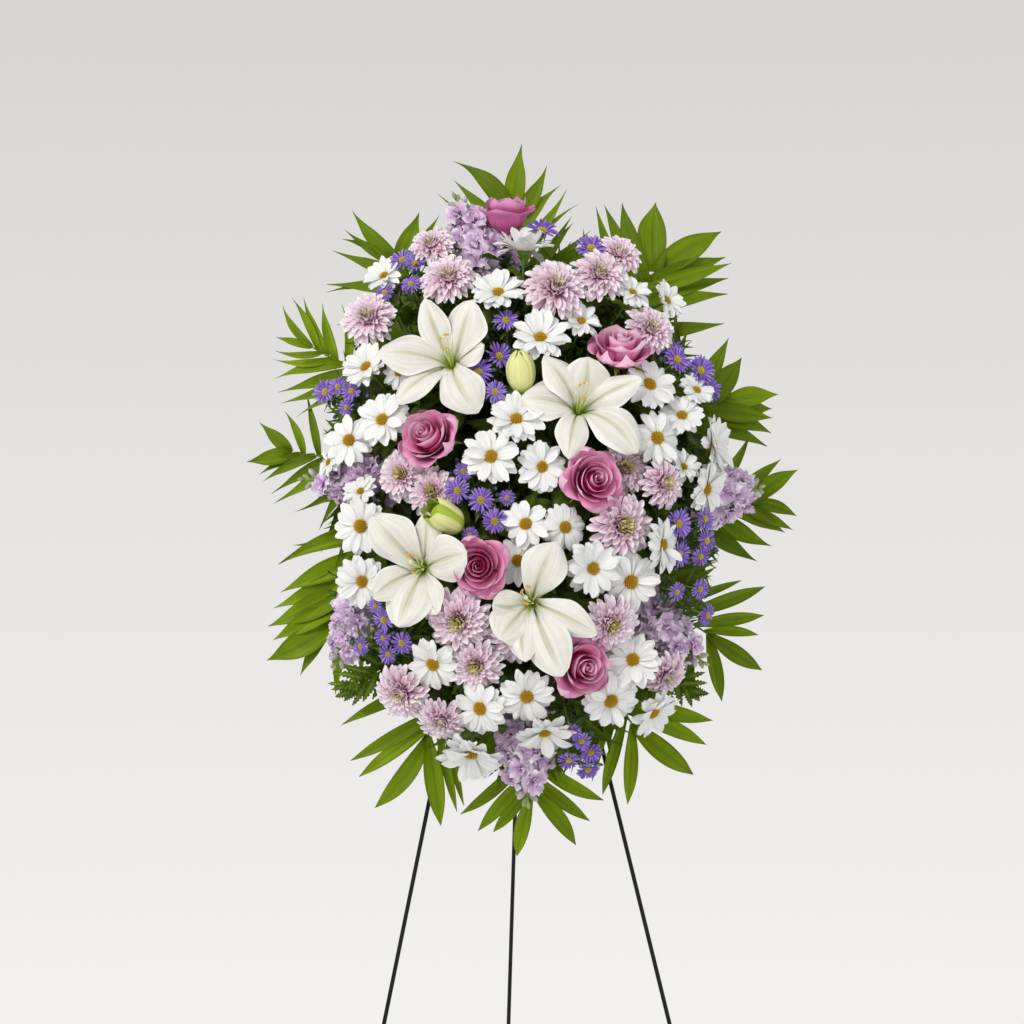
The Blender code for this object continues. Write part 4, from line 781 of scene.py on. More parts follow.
MATERIALS = {
    "rose_petal": skin_material("rose_petal", 0.55, veins=0.07, vein_count=22, mottle=0.05, depth=0.00012, soft=0.12, soft_colour=(1.0, 0.35, 0.5)),
    "lily_petal": skin_material("lily_petal", 0.50, veins=0.10, vein_count=16, mottle=0.03, depth=0.00035, soft=0.0, soft_colour=(1.0, 0.9, 0.6)),
    "daisy_petal": skin_material("daisy_petal", 0.6, veins=0.10, vein_count=7, mottle=0.03, depth=0.0003, soft=0.12, soft_colour=(1.0, 0.95, 0.85)),
    "mum_petal": skin_material("mum_petal", 0.6, veins=0.14, vein_count=6, mottle=0.06, depth=0.0003, soft=0.10, soft_colour=(1.0, 0.6, 0.8)),
    "aster_petal": skin_material("aster_petal", 0.6, veins=0.12, vein_count=4, mottle=0.08, depth=0.0002, soft=0.08, soft_colour=(0.6, 0.4, 1.0)),
    "stock_petal": skin_material("stock_petal", 0.6, veins=0.12, vein_count=8, mottle=0.10, depth=0.0003, soft=0.10, soft_colour=(0.9, 0.7, 1.0)),
    "disc": skin_material("disc", 0.75, veins=0.0, mottle=0.22, mottle_size=700.0),
    "palm_blade": skin_material("palm_blade", 0.55, veins=0.22, vein_count=20, mottle=0.12, mottle_size=40.0, depth=0.0004, shine=0.16),
    "leaf": skin_material("leaf", 0.55, veins=0.22, vein_count=8, mottle=0.18, mottle_size=120.0, depth=0.0004, shine=0.2),
    "stem": skin_material("stem", 0.5, veins=0.12, vein_count=10, mottle=0.12, mottle_size=200.0),
    "wire": solid_material("wire", (0.0030, 0.0052, 0.0040), 0.36, metal=0.0, coat=0.0, size=60.0, amount=0.22, shine=0.25),
    "tray": solid_material("tray", (0.022, 0.075, 0.035), 0.5, size=500.0, amount=0.18, depth=0.0001),
    "foam": solid_material("foam", (0.035, 0.12, 0.055), 0.95, size=1400.0, amount=0.45, depth=0.0006, cells=True),
}

# ---------------------------------------------------------------- colours, read as the eye sees them in soft light
ROSE, ROSE_HEART, ROSE_DEEP_SHADE, ROSE_RIM_HIGHLIGHT = lin(232, 144, 190), lin(236, 108, 172), lin(158, 22, 88), lin(254, 222, 238)
LILY, LILY_EDGE_GLOW, LILY_SHADE, LILY_THROAT = lin(232, 230, 220), lin(250, 249, 244), lin(190, 188, 146), lin(150, 172, 40)
BUD, BUD_DEEP, BUD_HEART = lin(232, 232, 160), lin(172, 184, 74), lin(170, 196, 40)
DAISY, DAISY_FOOT = lin(248, 248, 246), lin(216, 218, 196)
OCHRE, OCHRE_GAP_SHADE = lin(212, 156, 10), lin(128, 74, 8)
MUM, MUM_RIM, MUM_FOOT_SHADE, MUM_CREAM = lin(244, 208, 228), lin(254, 250, 252), lin(196, 92, 146), lin(244, 236, 176)
ASTER, ASTER_FOOT, ASTER_HIGHLIGHT, ASTER_EYE = lin(112, 66, 180), lin(146, 108, 204), lin(200, 182, 242), lin(218, 204, 40)
STOCK, STOCK_RIM_HIGHLIGHT, STOCK_FOOT_SHADE = lin(224, 192, 228), lin(250, 240, 250), lin(164, 112, 180)
PALM, PALM_LIGHT, PALM_SHADE, PALM_EDGE = lin(102, 128, 0), lin(132, 160, 0), lin(62, 82, 0), lin(92, 88, 12)
LEAF, LEAF_LIGHT = lin(80, 100, 26), lin(124, 146, 34)
STEM, STEM_PALE = lin(84, 120, 40), lin(132, 156, 66)


# ---------------------------------------------------------------- flowers
def calyx(p, h, deep, wide, crown=-0.05, tint=STEM):
    """The green cup that a head sits in."""
    r, z = h.r, norm(h.turn)
    foot = STEM_R.get(h.flower, 0.002)
    prof = [(foot, -deep * r * 1.02), (foot * 1.25, -deep * r * 0.9), (wide * r * 0.75, -deep * r * 0.55), (wide * r, -deep * r * 0.25), (wide * r * 0.9, crown * r)]
    p.add(lathe(h.at, z, prof, 12), tint, "stem", 0.6)


def button(p, h, radius, high, count, base, tip, deep, lift=0.0, size=0.115):
    """A domed disc of tiny florets set on the golden angle."""
    x, y, z = frame_of(h)
    at = h.at + z * lift
    prof = [(radius * s, high * (1 - s**2.2) - 0.0004) for s in np.linspace(1.0, 0.0, 7)]
    prof = [(radius * 1.0, -0.35 * high)] + prof[:-1] + [(radius * 0.02, prof[-1][1])]
    # the dome under the florets in the deep tone: painted shade in the gaps between florets
    p.add(lathe(at, z, prof, 18), deep, "disc")
    i = np.arange(count) + 0.5
    rr = np.sqrt(i / count) * 0.97
    a = i * 2.39996
    spot = at + (x * np.cos(a)[:, None] + y * np.sin(a)[:, None]) * (radius * rr)[:, None] + z * (high * (1 - rr**2.2))[:, None]
    lean = norm(z + (x * np.cos(a)[:, None] + y * np.sin(a)[:, None]) * (rr * 0.8)[:, None])
    s = radius * size * (0.75 + 0.35 * rr)
    ring = np.linspace(0, 2 * pi, 6)
    e1 = norm(np.cross(lean, [0.31, 0.2, 0.9]))
    e2 = np.cross(lean, e1)
    rows = []
    for wide, up in ((1.0, -0.3), (0.85, 0.75), (0.12, 1.1)):
        rows.append(spot[:, None] + (e1[:, None] * np.cos(-ring)[None, :, None] + e2[:, None] * np.sin(-ring)[None, :, None]) * (s * wide)[:, None, None] + lean[:, None] * (s * up)[:, None, None])
    grid = np.stack(rows, 1)
    w = (rr * 0.75 + 0.25 * p.rng.random(count))[:, None, None] * np.ones((1, 3, 6))
    tint = mixed(tip, base, w)
    # each floret's foot darkened: painted shade between the florets
    tint[:, 0] = tint[:, 0] * 0.45
    p.add(grid, tint, "disc")


daisy_outline = shape([(0, 0.34), (0.2, 0.52), (0.45, 0.86), (0.7, 1.0), (0.88, 0.90), (1.0, 0.56)])


def nodding(h, share):
    """The head bent on its neck, part of the way round to the front."""
    return Head(h.piece, h.flower, h.at, h.r, unit(h.turn * (1 - share) + np.array([0, -sin(LEAN), cos(LEAN)]) * share))


def daisy(p, h):
    rng, r = p.rng, h.r
    calyx(p, h, NECK["daisy"], 0.24, 0.0)
    lift = rng.uniform(0.05, 0.42)
    count = int(rng.integers(12, 17))
    inner, stray = 0.10 * r, 0.13
    if h.turn[1] > 0.2 and 0.35 < h.turn[2] < 0.85:
        h, lift, r = nodding(h, 0.26), rng.uniform(0.34, 0.58), 1.08 * r
    if h.turn[2] < 0.62:
        lift, r = rng.uniform(0.34, 0.62), 1.26 * r
    if h.turn[2] < 0.30:
        lift, inner, stray = 0.55, 0.21 * r, 0.38
        if h.turn[1] > 0.6:
            lift, r = 0.78, 0.84 * r
    for ring, (share, drop, reach) in enumerate(((1.0, 0.0, 1.0), (0.75, 0.05, 0.93))):
        k = max(6, int(count * share))
        phi = np.arange(k) * 2 * pi / k + ring * 0.21 + rng.normal(0, 0.08, k)
        v, u = places(9, 7)
        length = col(r * 0.90 * reach * rng.uniform(0.88, 1.04, k), k)
        e0 = col(lift + drop + rng.normal(0, stray, k), k)
        e1 = e0 - col(rng.uniform(0.1, 1.15, k), k)
        notch = 0.05 * np.exp(-((u / 0.16) ** 2)) * col(rng.random(k) < 0.5, k)
        ve = v * (1 - 0.11 * np.abs(u) ** 2.4 - notch * v**6)
        a, z = arc(e0, e1, length, ve)
        half = col(r * rng.uniform(0.155, 0.215, k), k)
        w = half * daisy_outline(v)
        curl = col(rng.normal(0.0, 0.25, k), k)
        off = w * curl * u**2 + 0.09 * half * np.cos(u * 7.0) * ease(v, 0.05, 0.4) + col(rng.normal(0, 0.10, k), k) * w * u
        at, out, up = spokes(h, phi, 0.01 * r + 0.012 * r * ring)
        grid = sweep(at, out, up, a + inner, z, w * u, off)
        tint = mixed(DAISY_FOOT, DAISY, ease(ve, 0.06, 0.30) * np.ones_like(w * u)) * (1 - 0.05 * rng.random(k))[:, None, None, None]
        p.add(grid, tint, "daisy_petal")
    button(p, h, 0.235 * r, 0.13 * r, 62, OCHRE, lin(206, 176, 30), OCHRE_GAP_SHADE, 0.03 * r)


aster_outline = shape([(0, 0.5), (0.35, 0.9), (0.7, 1.0), (0.9, 0.75), (1.0, 0.25)])


def aster(p, h):
    rng, r = p.rng, h.r * (1.06 if h.turn[2] > 0.7 else 1.34)
    calyx(p, h, NECK["aster"], 0.36, 0.0)
    if h.turn[1] > 0.2:
        h = nodding(h, 0.28)
    lift = rng.uniform(0.05, 0.5)
    for ring in range(2):
        k = int(rng.integers(20, 25)) if ring == 0 else int(rng.integers(13, 17))
        phi = np.arange(k) * 2 * pi / k + rng.normal(0, 0.06, k) + 0.15 * ring
        length = r * (0.88 if ring == 0 else 0.76) * rng.uniform(0.86, 1.05, k)
        at, out, up = spokes(h, phi, 0.02 * r * ring)
        at = at + out * 0.22 * r
        e0 = lift + rng.normal(0.05, 0.10, k) + 0.16 * ring
        grid = blades(at, out, up, length, r * rng.uniform(0.075, 0.105, k), aster_outline, 6, 3, e0=e0, e1=e0 - rng.uniform(0.1, 0.9, k), fold=rng.uniform(0.1, 0.6, k), bow=rng.normal(0, 0.03, k))
        v, u = places(6, 3)
        tint = mixed(ASTER_FOOT, ASTER, ease(v, 0.0, 0.5) * np.ones_like(u)) * rng.uniform(0.85, 1.12, (k, 1, 1, 1))
        # paler down each ray's middle and towards its tip: a painted highlight
        pale = 0.60 * np.exp(-((u / 0.5) ** 2)) * ease(v, 0.1, 0.5) + 0.30 * ease(v, 0.7, 1.0)
        tint = mixed(tint, ASTER_HIGHLIGHT, pale * rng.uniform(0.3, 1.2, (k, 1, 1)))
        p.add(grid, tint, "aster_petal")
    button(p, h, 0.30 * r, 0.16 * r, 26, ASTER_EYE, lin(222, 208, 70), lin(150, 120, 20), 0.03 * r, 0.17)


mum_outline = shape([(0, 0.45), (0.3, 0.72), (0.6, 0.98), (0.8, 1.0), (0.93, 0.72), (1.0, 0.30)])


def mum(p, h):
    rng, r = p.rng, h.r * (1.12 if h.piece == "mum_left" else 1.03)
    calyx(p, h, NECK["mum"], 0.34, 0.0)
    blush = 0.62 if h.turn[2] < 0.75 else 0.12
    if h.turn[1] > 0.15:
        h = nodding(h, 0.42)
    open_eye = rng.random() < 0.88
    rings = [(1.02, 22, -0.05, -0.45), (0.93, 20, 0.15, -0.15), (0.82, 19, 0.38, 0.10), (0.69, 17, 0.62, 0.45), (0.56, 15, 0.88, 0.90), (0.44, 12, 1.10, 1.35)]
    if not open_eye:
        rings.append((0.33, 9, 1.30, 1.85))
    for j, (reach, k, e0, e1) in enumerate(rings):
        phi = np.arange(k) * 2 * pi / k + j * 0.5 + rng.normal(0, 0.06, k)
        start = r * (0.26 - 0.012 * j) if open_eye else 0.17 * r * (1 - j / 9)
        at, out, up = spokes(h, phi, 0.012 * r * j)
        at = at + out * start
        length = r * (reach * 0.90 - (0.08 if open_eye else 0.0)) * rng.uniform(0.84, 1.06, k)
        e0 = e0 + rng.normal(0, 0.09, k)
        e1 = e1 + rng.normal(0, 0.22, k)
        half = r * (0.112 if j < 2 else 0.102 if j < 4 else 0.088 if j < 5 else 0.075) * rng.uniform(0.86, 1.12, k)
        grid = blades(at, out, up, length, half, mum_outline, 8, 5, e0=e0, e1=e1, fold=0.80, wave=0.0, ribs=0.04)
        v, u = places(8, 5)
        full = np.ones((k, 1, 1))
        inner = j / len(rings)
        # darker magenta at the petal feet: partly the flower's own deeper pink, partly painted shade in the recesses
        # between petals
        tint = mixed(MUM_FOOT_SHADE, MUM, ease(v, 0.05, 0.55) * np.ones_like(u) * full)
        tint = mixed(tint, MUM_RIM, (0.95 * np.maximum(ease(np.abs(u), 0.45, 1.0) * ease(v, 0.25, 0.6), ease(v, 0.72, 1.0))) * full)
        tint = tint * rng.uniform(0.92, 1.04, (k, 1, 1, 1))
        p.add(grid, tint, "mum_petal")
    if open_eye:
        k = 44
        phi = np.arange(k) * 2.39996
        at, out, up = spokes(h, phi, 0.12 * r)
        at = at + out * (0.01 + 0.21 * np.sqrt(np.arange(k) / k))[:, None] * r
        grid = blades(at, out, up, r * rng.uniform(0.20, 0.32, k), r * 0.048, mum_outline, 5, 3, e0=1.45, e1=rng.uniform(0.7, 1.8, k), fold=0.5)
        deep, pale = mixed(lin(216, 192, 96), MUM_FOOT_SHADE, blush), mixed(MUM_CREAM, MUM_RIM, blush)
        p.add(grid, mixed(deep, pale, np.linspace(0, 1, 5)[None, :, None] * np.ones((k, 1, 3))), "mum_petal")


def rose(p, h):
    """Petals wound from a tight cone outwards: ten in the heart, five half open, and five rolled back to a point."""
    rng = p.rng
    x, y, z = frame_of(h)
    cup = h.piece == "rose_top"
    r = h.r * {"rose_top": 1.14, "rose_right_high": 1.30, "rose_low": 1.07, "rose_right": 1.05}.get(h.piece, 1.10)
    calyx(p, h, 0.62, 0.28, -0.36)
    rims = [0.04, 0.07, 0.105, 0.14, 0.18, 0.22, 0.26, 0.305, 0.35, 0.39, 0.44, 0.47, 0.50, 0.53, 0.55, 0.58, 0.60, 0.62, 0.64, 0.66]
    count = len(rims)
    v, u = places(15, 15)
    start = rng.uniform(0, 2 * pi)
    for i, rim in enumerate(rims):
        layer = 0 if i < 10 else 1 if i < 15 else 2
        t = i / (count - 1)
        phi = start + i * 2.39996 + rng.normal(0, 0.08)
        rim = r * rim * rng.uniform(0.98, 1.03)
        top = r * ((0.50 - 0.010 * i) if layer == 0 else 0.34 if layer == 1 else 0.17) + 0.02 * r * rng.normal()
        span = radians((120 - 4.0 * i) if layer == 0 else 68 if layer == 1 else 58) * rng.uniform(0.96, 1.06)
        band = r * ((0.014 + 0.005 * i) if layer == 0 else 0.17 if layer == 1 else 0.34) * rng.uniform(0.88, 1.10)
        if cup:
            top, band = top + r * (0.04 + 0.28 * t), band * (1.0 + 0.12 * t)
        point = (0.02, 0.12, 0.06 if cup else 0.34)[layer] * np.exp(-((np.abs(u) / 0.30) ** 1.1))
        ve = v * (1 - (0.14, 0.16, 0.14 if cup else 0.22)[layer] * np.abs(u) ** 2.4 + point * v**6)
        belly = rim * (1.05 + 0.24 * t)
        q = ve
        rad = 0.05 * r * (1 - q) ** 2 + belly * 2 * q * (1 - q) + rim * q * q
        hgt = -0.58 * r * (1 - q) ** 2 + (-0.30 * r) * 2 * q * (1 - q) + top * q * q
        roll = ease(ve, 0.66 - 0.12 * t, 1.06)
        rad = rad + band * roll**1.3 * (1.12 - (0.0, 0.42, 0.90)[layer] * np.abs(u) ** 1.2)
        hgt = hgt - band * (0.30 + 0.55 * t) * (0.60 if cup else 1.0) * roll**2.2 * (1 + 0.55 * np.abs(u) ** 2.0 * t)
        angle = phi + u * span * (0.62 + 0.38 * ease(v, 0.0, 0.6)) * (1 - (0.0, 0.08, 0.20)[layer] * roll)
        rad = rad * (1 + 0.30 * (1 - t) ** 2 * u + 0.05 * u)
        rad = rad + r * 0.012 * np.sin(angle * 3 + i) * v
        hgt = hgt + r * (0.008 + 0.024 * t) * np.sin(angle * 4.0 + i * 1.7) * ease(v, 0.5, 1.0)
        grid = h.at + x * (rad * np.cos(angle))[..., None] + y * (rad * np.sin(angle))[..., None] + z * hgt[..., None]
        grid = grid[:, :, ::-1]
        # darker towards the petal feet: partly the rose's own deeper pink, partly painted shade in the creases of the
        # heart
        deep = ease(ve, 0.20, 0.78) * np.ones_like(u)
        own_tint = mixed(ROSE_HEART, ROSE, np.array(min(1.0, 0.15 + 1.0 * t)))
        tint = mixed(ROSE_DEEP_SHADE, own_tint, 0.36 + 0.64 * deep)
        # paler band on the rolled rims: a painted highlight where the rims curl over
        tint = mixed(tint, ROSE_RIM_HIGHLIGHT, (0.22 * ease(ve, 0.66, 0.92) + (0.80, 0.66, 0.34)[layer] * ease(ve, (0.84, 0.88, 0.92)[layer], 1.00)) * np.ones_like(u))
        if cup:
            tint = tint * np.array([0.76, 0.48, 0.66])
        p.add(grid, (tint * rng.uniform(0.94, 1.05))[:, :, ::-1], "rose_petal")
    heart = [(0.05, -0.57), (0.26, -0.46), (0.40, -0.26), (0.38, -0.05), (0.20, 0.10), (0.02, 0.16)]
    # the core of the heart in the deep tone: painted shade in the tight centre
    p.add(lathe(h.at, z, [(a_ * r, b_ * r) for a_, b_ in heart], 14), ROSE_DEEP_SHADE, "rose_petal", 0.5)
    phi = np.arange(5) * 2 * pi / 5 + start
    at, out, up = spokes(h, phi, -0.52 * r)
    grid = blades(at + out * 0.08 * r, out, up, r * 0.80, r * 0.11, shape([(0, 0.8), (0.3, 1.0), (0.7, 0.5), (1, 0.03)]), 8, 3, e0=rng.uniform(0.2, 0.8, 5), e1=rng.uniform(-0.8, 0.4, 5), fold=0.3)
    p.add(grid, LEAF_LIGHT, "leaf")


TEPALS = {
    "lily_top_left": [(484, 344), (424, 298), (378, 352), (395, 404), (477, 413), (472, 300)],
    "lily_right": [(544, 355), (589, 357), (642, 379), (638, 453), (569, 459), (521, 398)],
    "lily_left": [(372, 516), (428, 512), (467, 553), (437, 615), (398, 627), (372, 598)],
    "lily_centre": [(557, 541), (597, 634), (563, 676), (525, 662), (500, 640), (492, 604)],
}
tepal_broad = shape([(0, 0.20), (0.18, 0.34), (0.38, 0.74), (0.57, 1.0), (0.76, 0.88), (0.90, 0.56), (0.965, 0.32), (1.0, 0.03)])
tepal_slim = shape([(0, 0.24), (0.18, 0.38), (0.38, 0.78), (0.57, 1.0), (0.77, 0.80), (0.91, 0.46), (0.97, 0.26), (1.0, 0.03)])


THROATS = {"lily_top_left": (453, 367), "lily_right": (578, 413), "lily_left": (424, 568), "lily_centre": (532, 602)}


def crowded(at, own):
    """How high a petal must pass, at this place across the spray, to clear the heads under it."""
    need = -1.0
    for other in heads:
        if other is own or other.flower == "lily" or (other.piece == own.piece and other.flower == "bud"):
            continue
        far = np.linalg.norm((at - other.at)[:2]) / (other.r * (1.15 if other.flower == "rose" else 1.0))
        if far < 1.0:
            high = {"rose": 0.50, "mum": 0.42, "daisy": 0.22, "aster": 0.25, "stock": 0.9, "bud": 0.3}[other.flower]
            need = max(need, other.at[2] + other.r * high * (1 - far ** (4 if other.flower == "rose" else 2)) + 0.002)
    return need


def lily(p, h):
    rng, r = p.rng, h.r
    x, y, z = frame_of(h)
    n = h.at[2]
    deep = 0.50 * r
    foot = seen(*THROATS[h.piece], n - deep)
    z = norm(z + np.array([0, 0, 0.25]))
    v, u = places(22, 15)
    u = np.sign(u) * np.abs(u) ** 1.6
    tips = TEPALS[h.piece]
    around = np.array([np.arctan2(THROATS[h.piece][1] - t[1], t[0] - THROATS[h.piece][0]) for t in tips])
    broad_ones = np.argsort(np.argsort(around)) % 2 == 1
    for i, px in enumerate(tips):
        broad = broad_ones[i]
        e0 = radians(rng.uniform(60, 70))
        rise = -0.06 * r * rng.random()
        for _ in range(24):
            tip = seen(*px, n + rise)
            d = tip - foot
            high = d @ z
            flat = d - z * high
            far = np.linalg.norm(flat)
            e1 = 2 * np.arctan2(high, far - 0.04 * r) - e0
            length = (far - 0.04 * r) * (e1 - e0) / (sin(e1) - sin(e0))
            vs = np.linspace(0.45, 1.0, 7)
            a, up_ = arc(e0, e1, length, vs)
            line = foot + (flat / far) * (a + 0.04 * r)[:, None] + z * up_[:, None]
            short = max(crowded(q, h) - q[2] for q in line)
            if short <= 0:
                break
            rise += max(0.001, short * 0.6)
            if rise > 0.40 * r:
                break
        a, up_ = arc(e0, e1, length, v * np.ones_like(u))
        half = r * (0.40 if broad else 0.29) * rng.uniform(0.96, 1.05)
        w = half * (tepal_broad if broad else tepal_slim)(v)
        groove = -0.048 * r * np.exp(-((u / 0.09) ** 2)) * ease(v, 0.03, 0.15) * (1 - ease(v, 0.80, 1.0))
        off = groove + 0.010 * r * np.cos(u * 10) * ease(v, 0.1, 0.4) * (1 - ease(v, 0.8, 1.0)) - w * 0.30 * np.abs(u) ** 2.6 * ease(v, 0.25, 0.7) + w * 0.55 * u**2 * (1 - ease(v, 0.0, 0.4))
        off = off + 0.07 * half * np.sin(v * 11 + rng.uniform(0, 6)) * np.sign(u) * np.abs(u) ** 3 + 0.08 * half * np.sin(v * 7 + rng.uniform(0, 6)) * u**2
        bow = 0.05 * rng.normal() * r * 4 * v * (1 - v)
        grid = sweep((foot + z * (0.0 if broad else -0.015 * r))[None], (flat / far)[None], z[None], a + 0.04 * r, up_, w * u + bow, off)
        tint = mixed(LILY_THROAT, LILY, ease(v, 0.04, 0.26) * np.ones_like(u))
        tint = mixed(tint, LILY_THROAT, 0.60 * np.exp(-((u / 0.13) ** 2)) * (1 - ease(v, 0.10, 0.46)))
        tint = mixed(tint, LILY_SHADE, (0.70 * np.exp(-(((np.abs(u) - 0.06) / 0.05) ** 2)) + 0.12 * np.exp(-((u / 0.30) ** 2))) * ease(v, 0.1, 0.3) * (1 - ease(v, 0.6, 0.95)))
        # paler tepal edges: painted light, standing for the glow through the thin edges
        tint = mixed(tint, LILY_EDGE_GLOW, 0.8 * ease(np.abs(u), 0.80, 1.0) * ease(v, 0.25, 0.5))
        p.add(grid, tint, "lily_petal")
    lift = np.array([0.05, 0.45, 0.0]) * 0.10 * r
    for i in range(7):
        a = i * 2 * pi / 6 + 0.4
        way = x * cos(a) + y * sin(a)
        spread = 0.0 if i == 6 else rng.uniform(0.09, 0.17)
        top = 0.74 if i == 6 else rng.uniform(0.48, 0.66)
        path = [foot + way * (0.03 * r * (i < 6)), foot + way * spread * r * 0.4 + z * 0.3 * r + lift, foot + way * spread * r + z * top * r * 0.85 + lift * 2, foot + way * spread * r * 1.1 + z * top * r + lift * 3]
        line = rounded(path, 0.4, 3)
        p.add(tube(line, np.linspace(0.0011, 0.0006, len(line)) * (1.6 if i == 6 else 1.0), 6), mixed(lin(190, 204, 96), lin(238, 236, 206), np.linspace(0, 1, len(line))[:, None] * np.ones((1, 7))), "stem", 0.5)
        end, before = line[-1], norm(line[-1] - line[-2])
        if i == 6:
            p.add(lathe(end, before, [(0.0009, -0.001), (0.0024, 0.0006), (0.0026, 0.0016), (0.0011, 0.0025), (0.0001, 0.0026)], 9, lambda a_: 1 + 0.22 * np.cos(3 * a_)), lin(226, 220, 170), "disc")
        elif i in (1, 2, 4):
            across = norm(np.cross(before, way + z * 0.2))
            p.add(lathe(end, across, [(0.0002, -0.0036), (0.0010, -0.0025), (0.0013, 0.0), (0.0010, 0.0025), (0.0002, 0.0036)], 8), lin(228, 160, 70), "disc")


def lily_bud(p, h, opened):
    rng, r = p.rng, h.r * (1.26 if opened else 1.10)
    x, y, z = frame_of(h)
    v, u = places(22, 13)
    length = 1.80 * r
    closed_outline = shape([(0, 0.20), (0.2, 0.72), (0.5, 1.0), (0.78, 0.84), (0.93, 0.50), (1.0, 0.20)])
    open_outline = shape([(0, 0.2), (0.2, 0.80), (0.5, 1.0), (0.78, 1.0), (0.93, 0.90), (1.0, 0.80)])
    for layer in (1, 0):
        for i in range(3):
            phi = i * 2 * pi / 3 + layer * pi / 3 + 0.5 + (0.25 if opened else 0.0)
            belly = (open_outline if opened else closed_outline)(v)
            rad = 0.58 * r * belly * (0.90 if layer else 1.0) * (1 - 0.20 * np.abs(u) ** 2.0) + 0.016 * r * np.cos(u * 3.1)
            taper = 1 - (0.30 if opened else 0.75) * ease(v, 0.62, 1.03) ** 1.4
            angle = phi + u * radians(66 if layer == 0 else 58) * taper
            high = -1.0 * r + length * v * (1 - (0.16 if opened else 0.03) * np.abs(u) ** 2.2 * v)
            grid = h.at + x * (rad * np.cos(angle))[..., None] + y * (rad * np.sin(angle))[..., None] + z * (high * np.ones_like(u))[..., None]
            tint = mixed(BUD_DEEP, BUD, ease(v, 0.03, 0.4) * np.ones_like(u))
            tint = mixed(tint, BUD_DEEP, 0.80 * ease(np.abs(u), 0.62, 0.98) * np.ones_like(v))
            tint = mixed(tint, BUD_DEEP, 0.30 * np.exp(-((u / 0.12) ** 2)) * np.ones_like(v))
            if opened and layer:
                tint = mixed(tint, BUD_HEART, 0.9 * np.ones_like(u) * np.ones_like(v))
            p.add(grid[:, :, ::-1], tint[:, :, ::-1], "lily_petal")
    if opened:
        p.add(lathe(h.at, z, [(0.40 * r, -0.2 * r), (0.46 * r, 0.1 * r), (0.40 * r, 0.36 * r), (0.22 * r, 0.50 * r), (0.02 * r, 0.54 * r)], 12, lambda a_: 1 + 0.10 * np.cos(3 * a_)), BUD_HEART, "lily_petal", 0.6)
    p.add(tube(np.array([h.at - z * 1.02 * r, h.at - z * 0.9 * r]), [0.0032, 0.0055], 8), STEM, "stem", 0.5)


def floret(p, at, axis, size, rng, tight):
    """One double stock floret: a loose rosette of frilled petals."""
    x = norm(np.cross([0.2, 0.9, 0.3], axis))
    y = np.cross(axis, x)
    for ring, (k, reach, e0, e1, lift) in enumerate(((5, 1.0, 0.20, -0.55, 0.0), (5, 0.84, 0.70, -0.05, 0.07), (3, 0.56, 1.15, 0.7, 0.14))):
        if tight and ring == 0:
            continue
        phi = np.arange(k) * 2 * pi / k + rng.uniform(0, 6) + rng.normal(0, 0.22, k)
        out = x * np.cos(phi)[:, None] + y * np.sin(phi)[:, None]
        base = np.broadcast_to(at + axis * size * lift, (k, 3))
        v, u = places(7, 8)
        length = col(size * reach * rng.uniform(0.80, 1.15, k), k)
        lift0 = col(e0 + rng.normal(0, 0.22, k), k)
        ve = v * (1 - 0.18 * np.abs(u) ** 2.2 + 0.09 * np.cos(u * 9 + col(rng.uniform(0, 6, k), k)) * v**4)
        a, z = arc(lift0, lift0 + (e1 - e0) + col(rng.normal(0, 0.35, k), k), length, ve)
        half = col(size * reach * rng.uniform(0.44, 0.66, k), k)
        w = half * shape([(0, 0.16), (0.3, 0.46), (0.65, 0.95), (0.88, 1.0), (1.0, 0.74)])(v)
        off = half * 0.34 * np.sin(u * 4.4 + col(rng.uniform(0, 6, k), k)) * ease(v, 0.3, 1.0) + half * 0.20 * u**2
        grid = sweep(base, out, np.broadcast_to(axis, (k, 3)), a, z, w * u, off)
        # darker at the petal feet: partly the floret's deeper lilac, partly painted shade in its heart
        tint = mixed(STOCK_FOOT_SHADE, STOCK, ease(v, 0.0, 0.45) * np.ones_like(u) * np.ones((k, 1, 1)))
        # outer half of each petal paler: a painted highlight on the frills
        tint = mixed(tint, STOCK_RIM_HIGHLIGHT, 0.9 * ease(ve, 0.55, 1.0) * np.ones((k, 1, 1)))
        p.add(grid, tint * rng.uniform(0.84, 1.06, (k, 1, 1, 1)), "stock_petal")


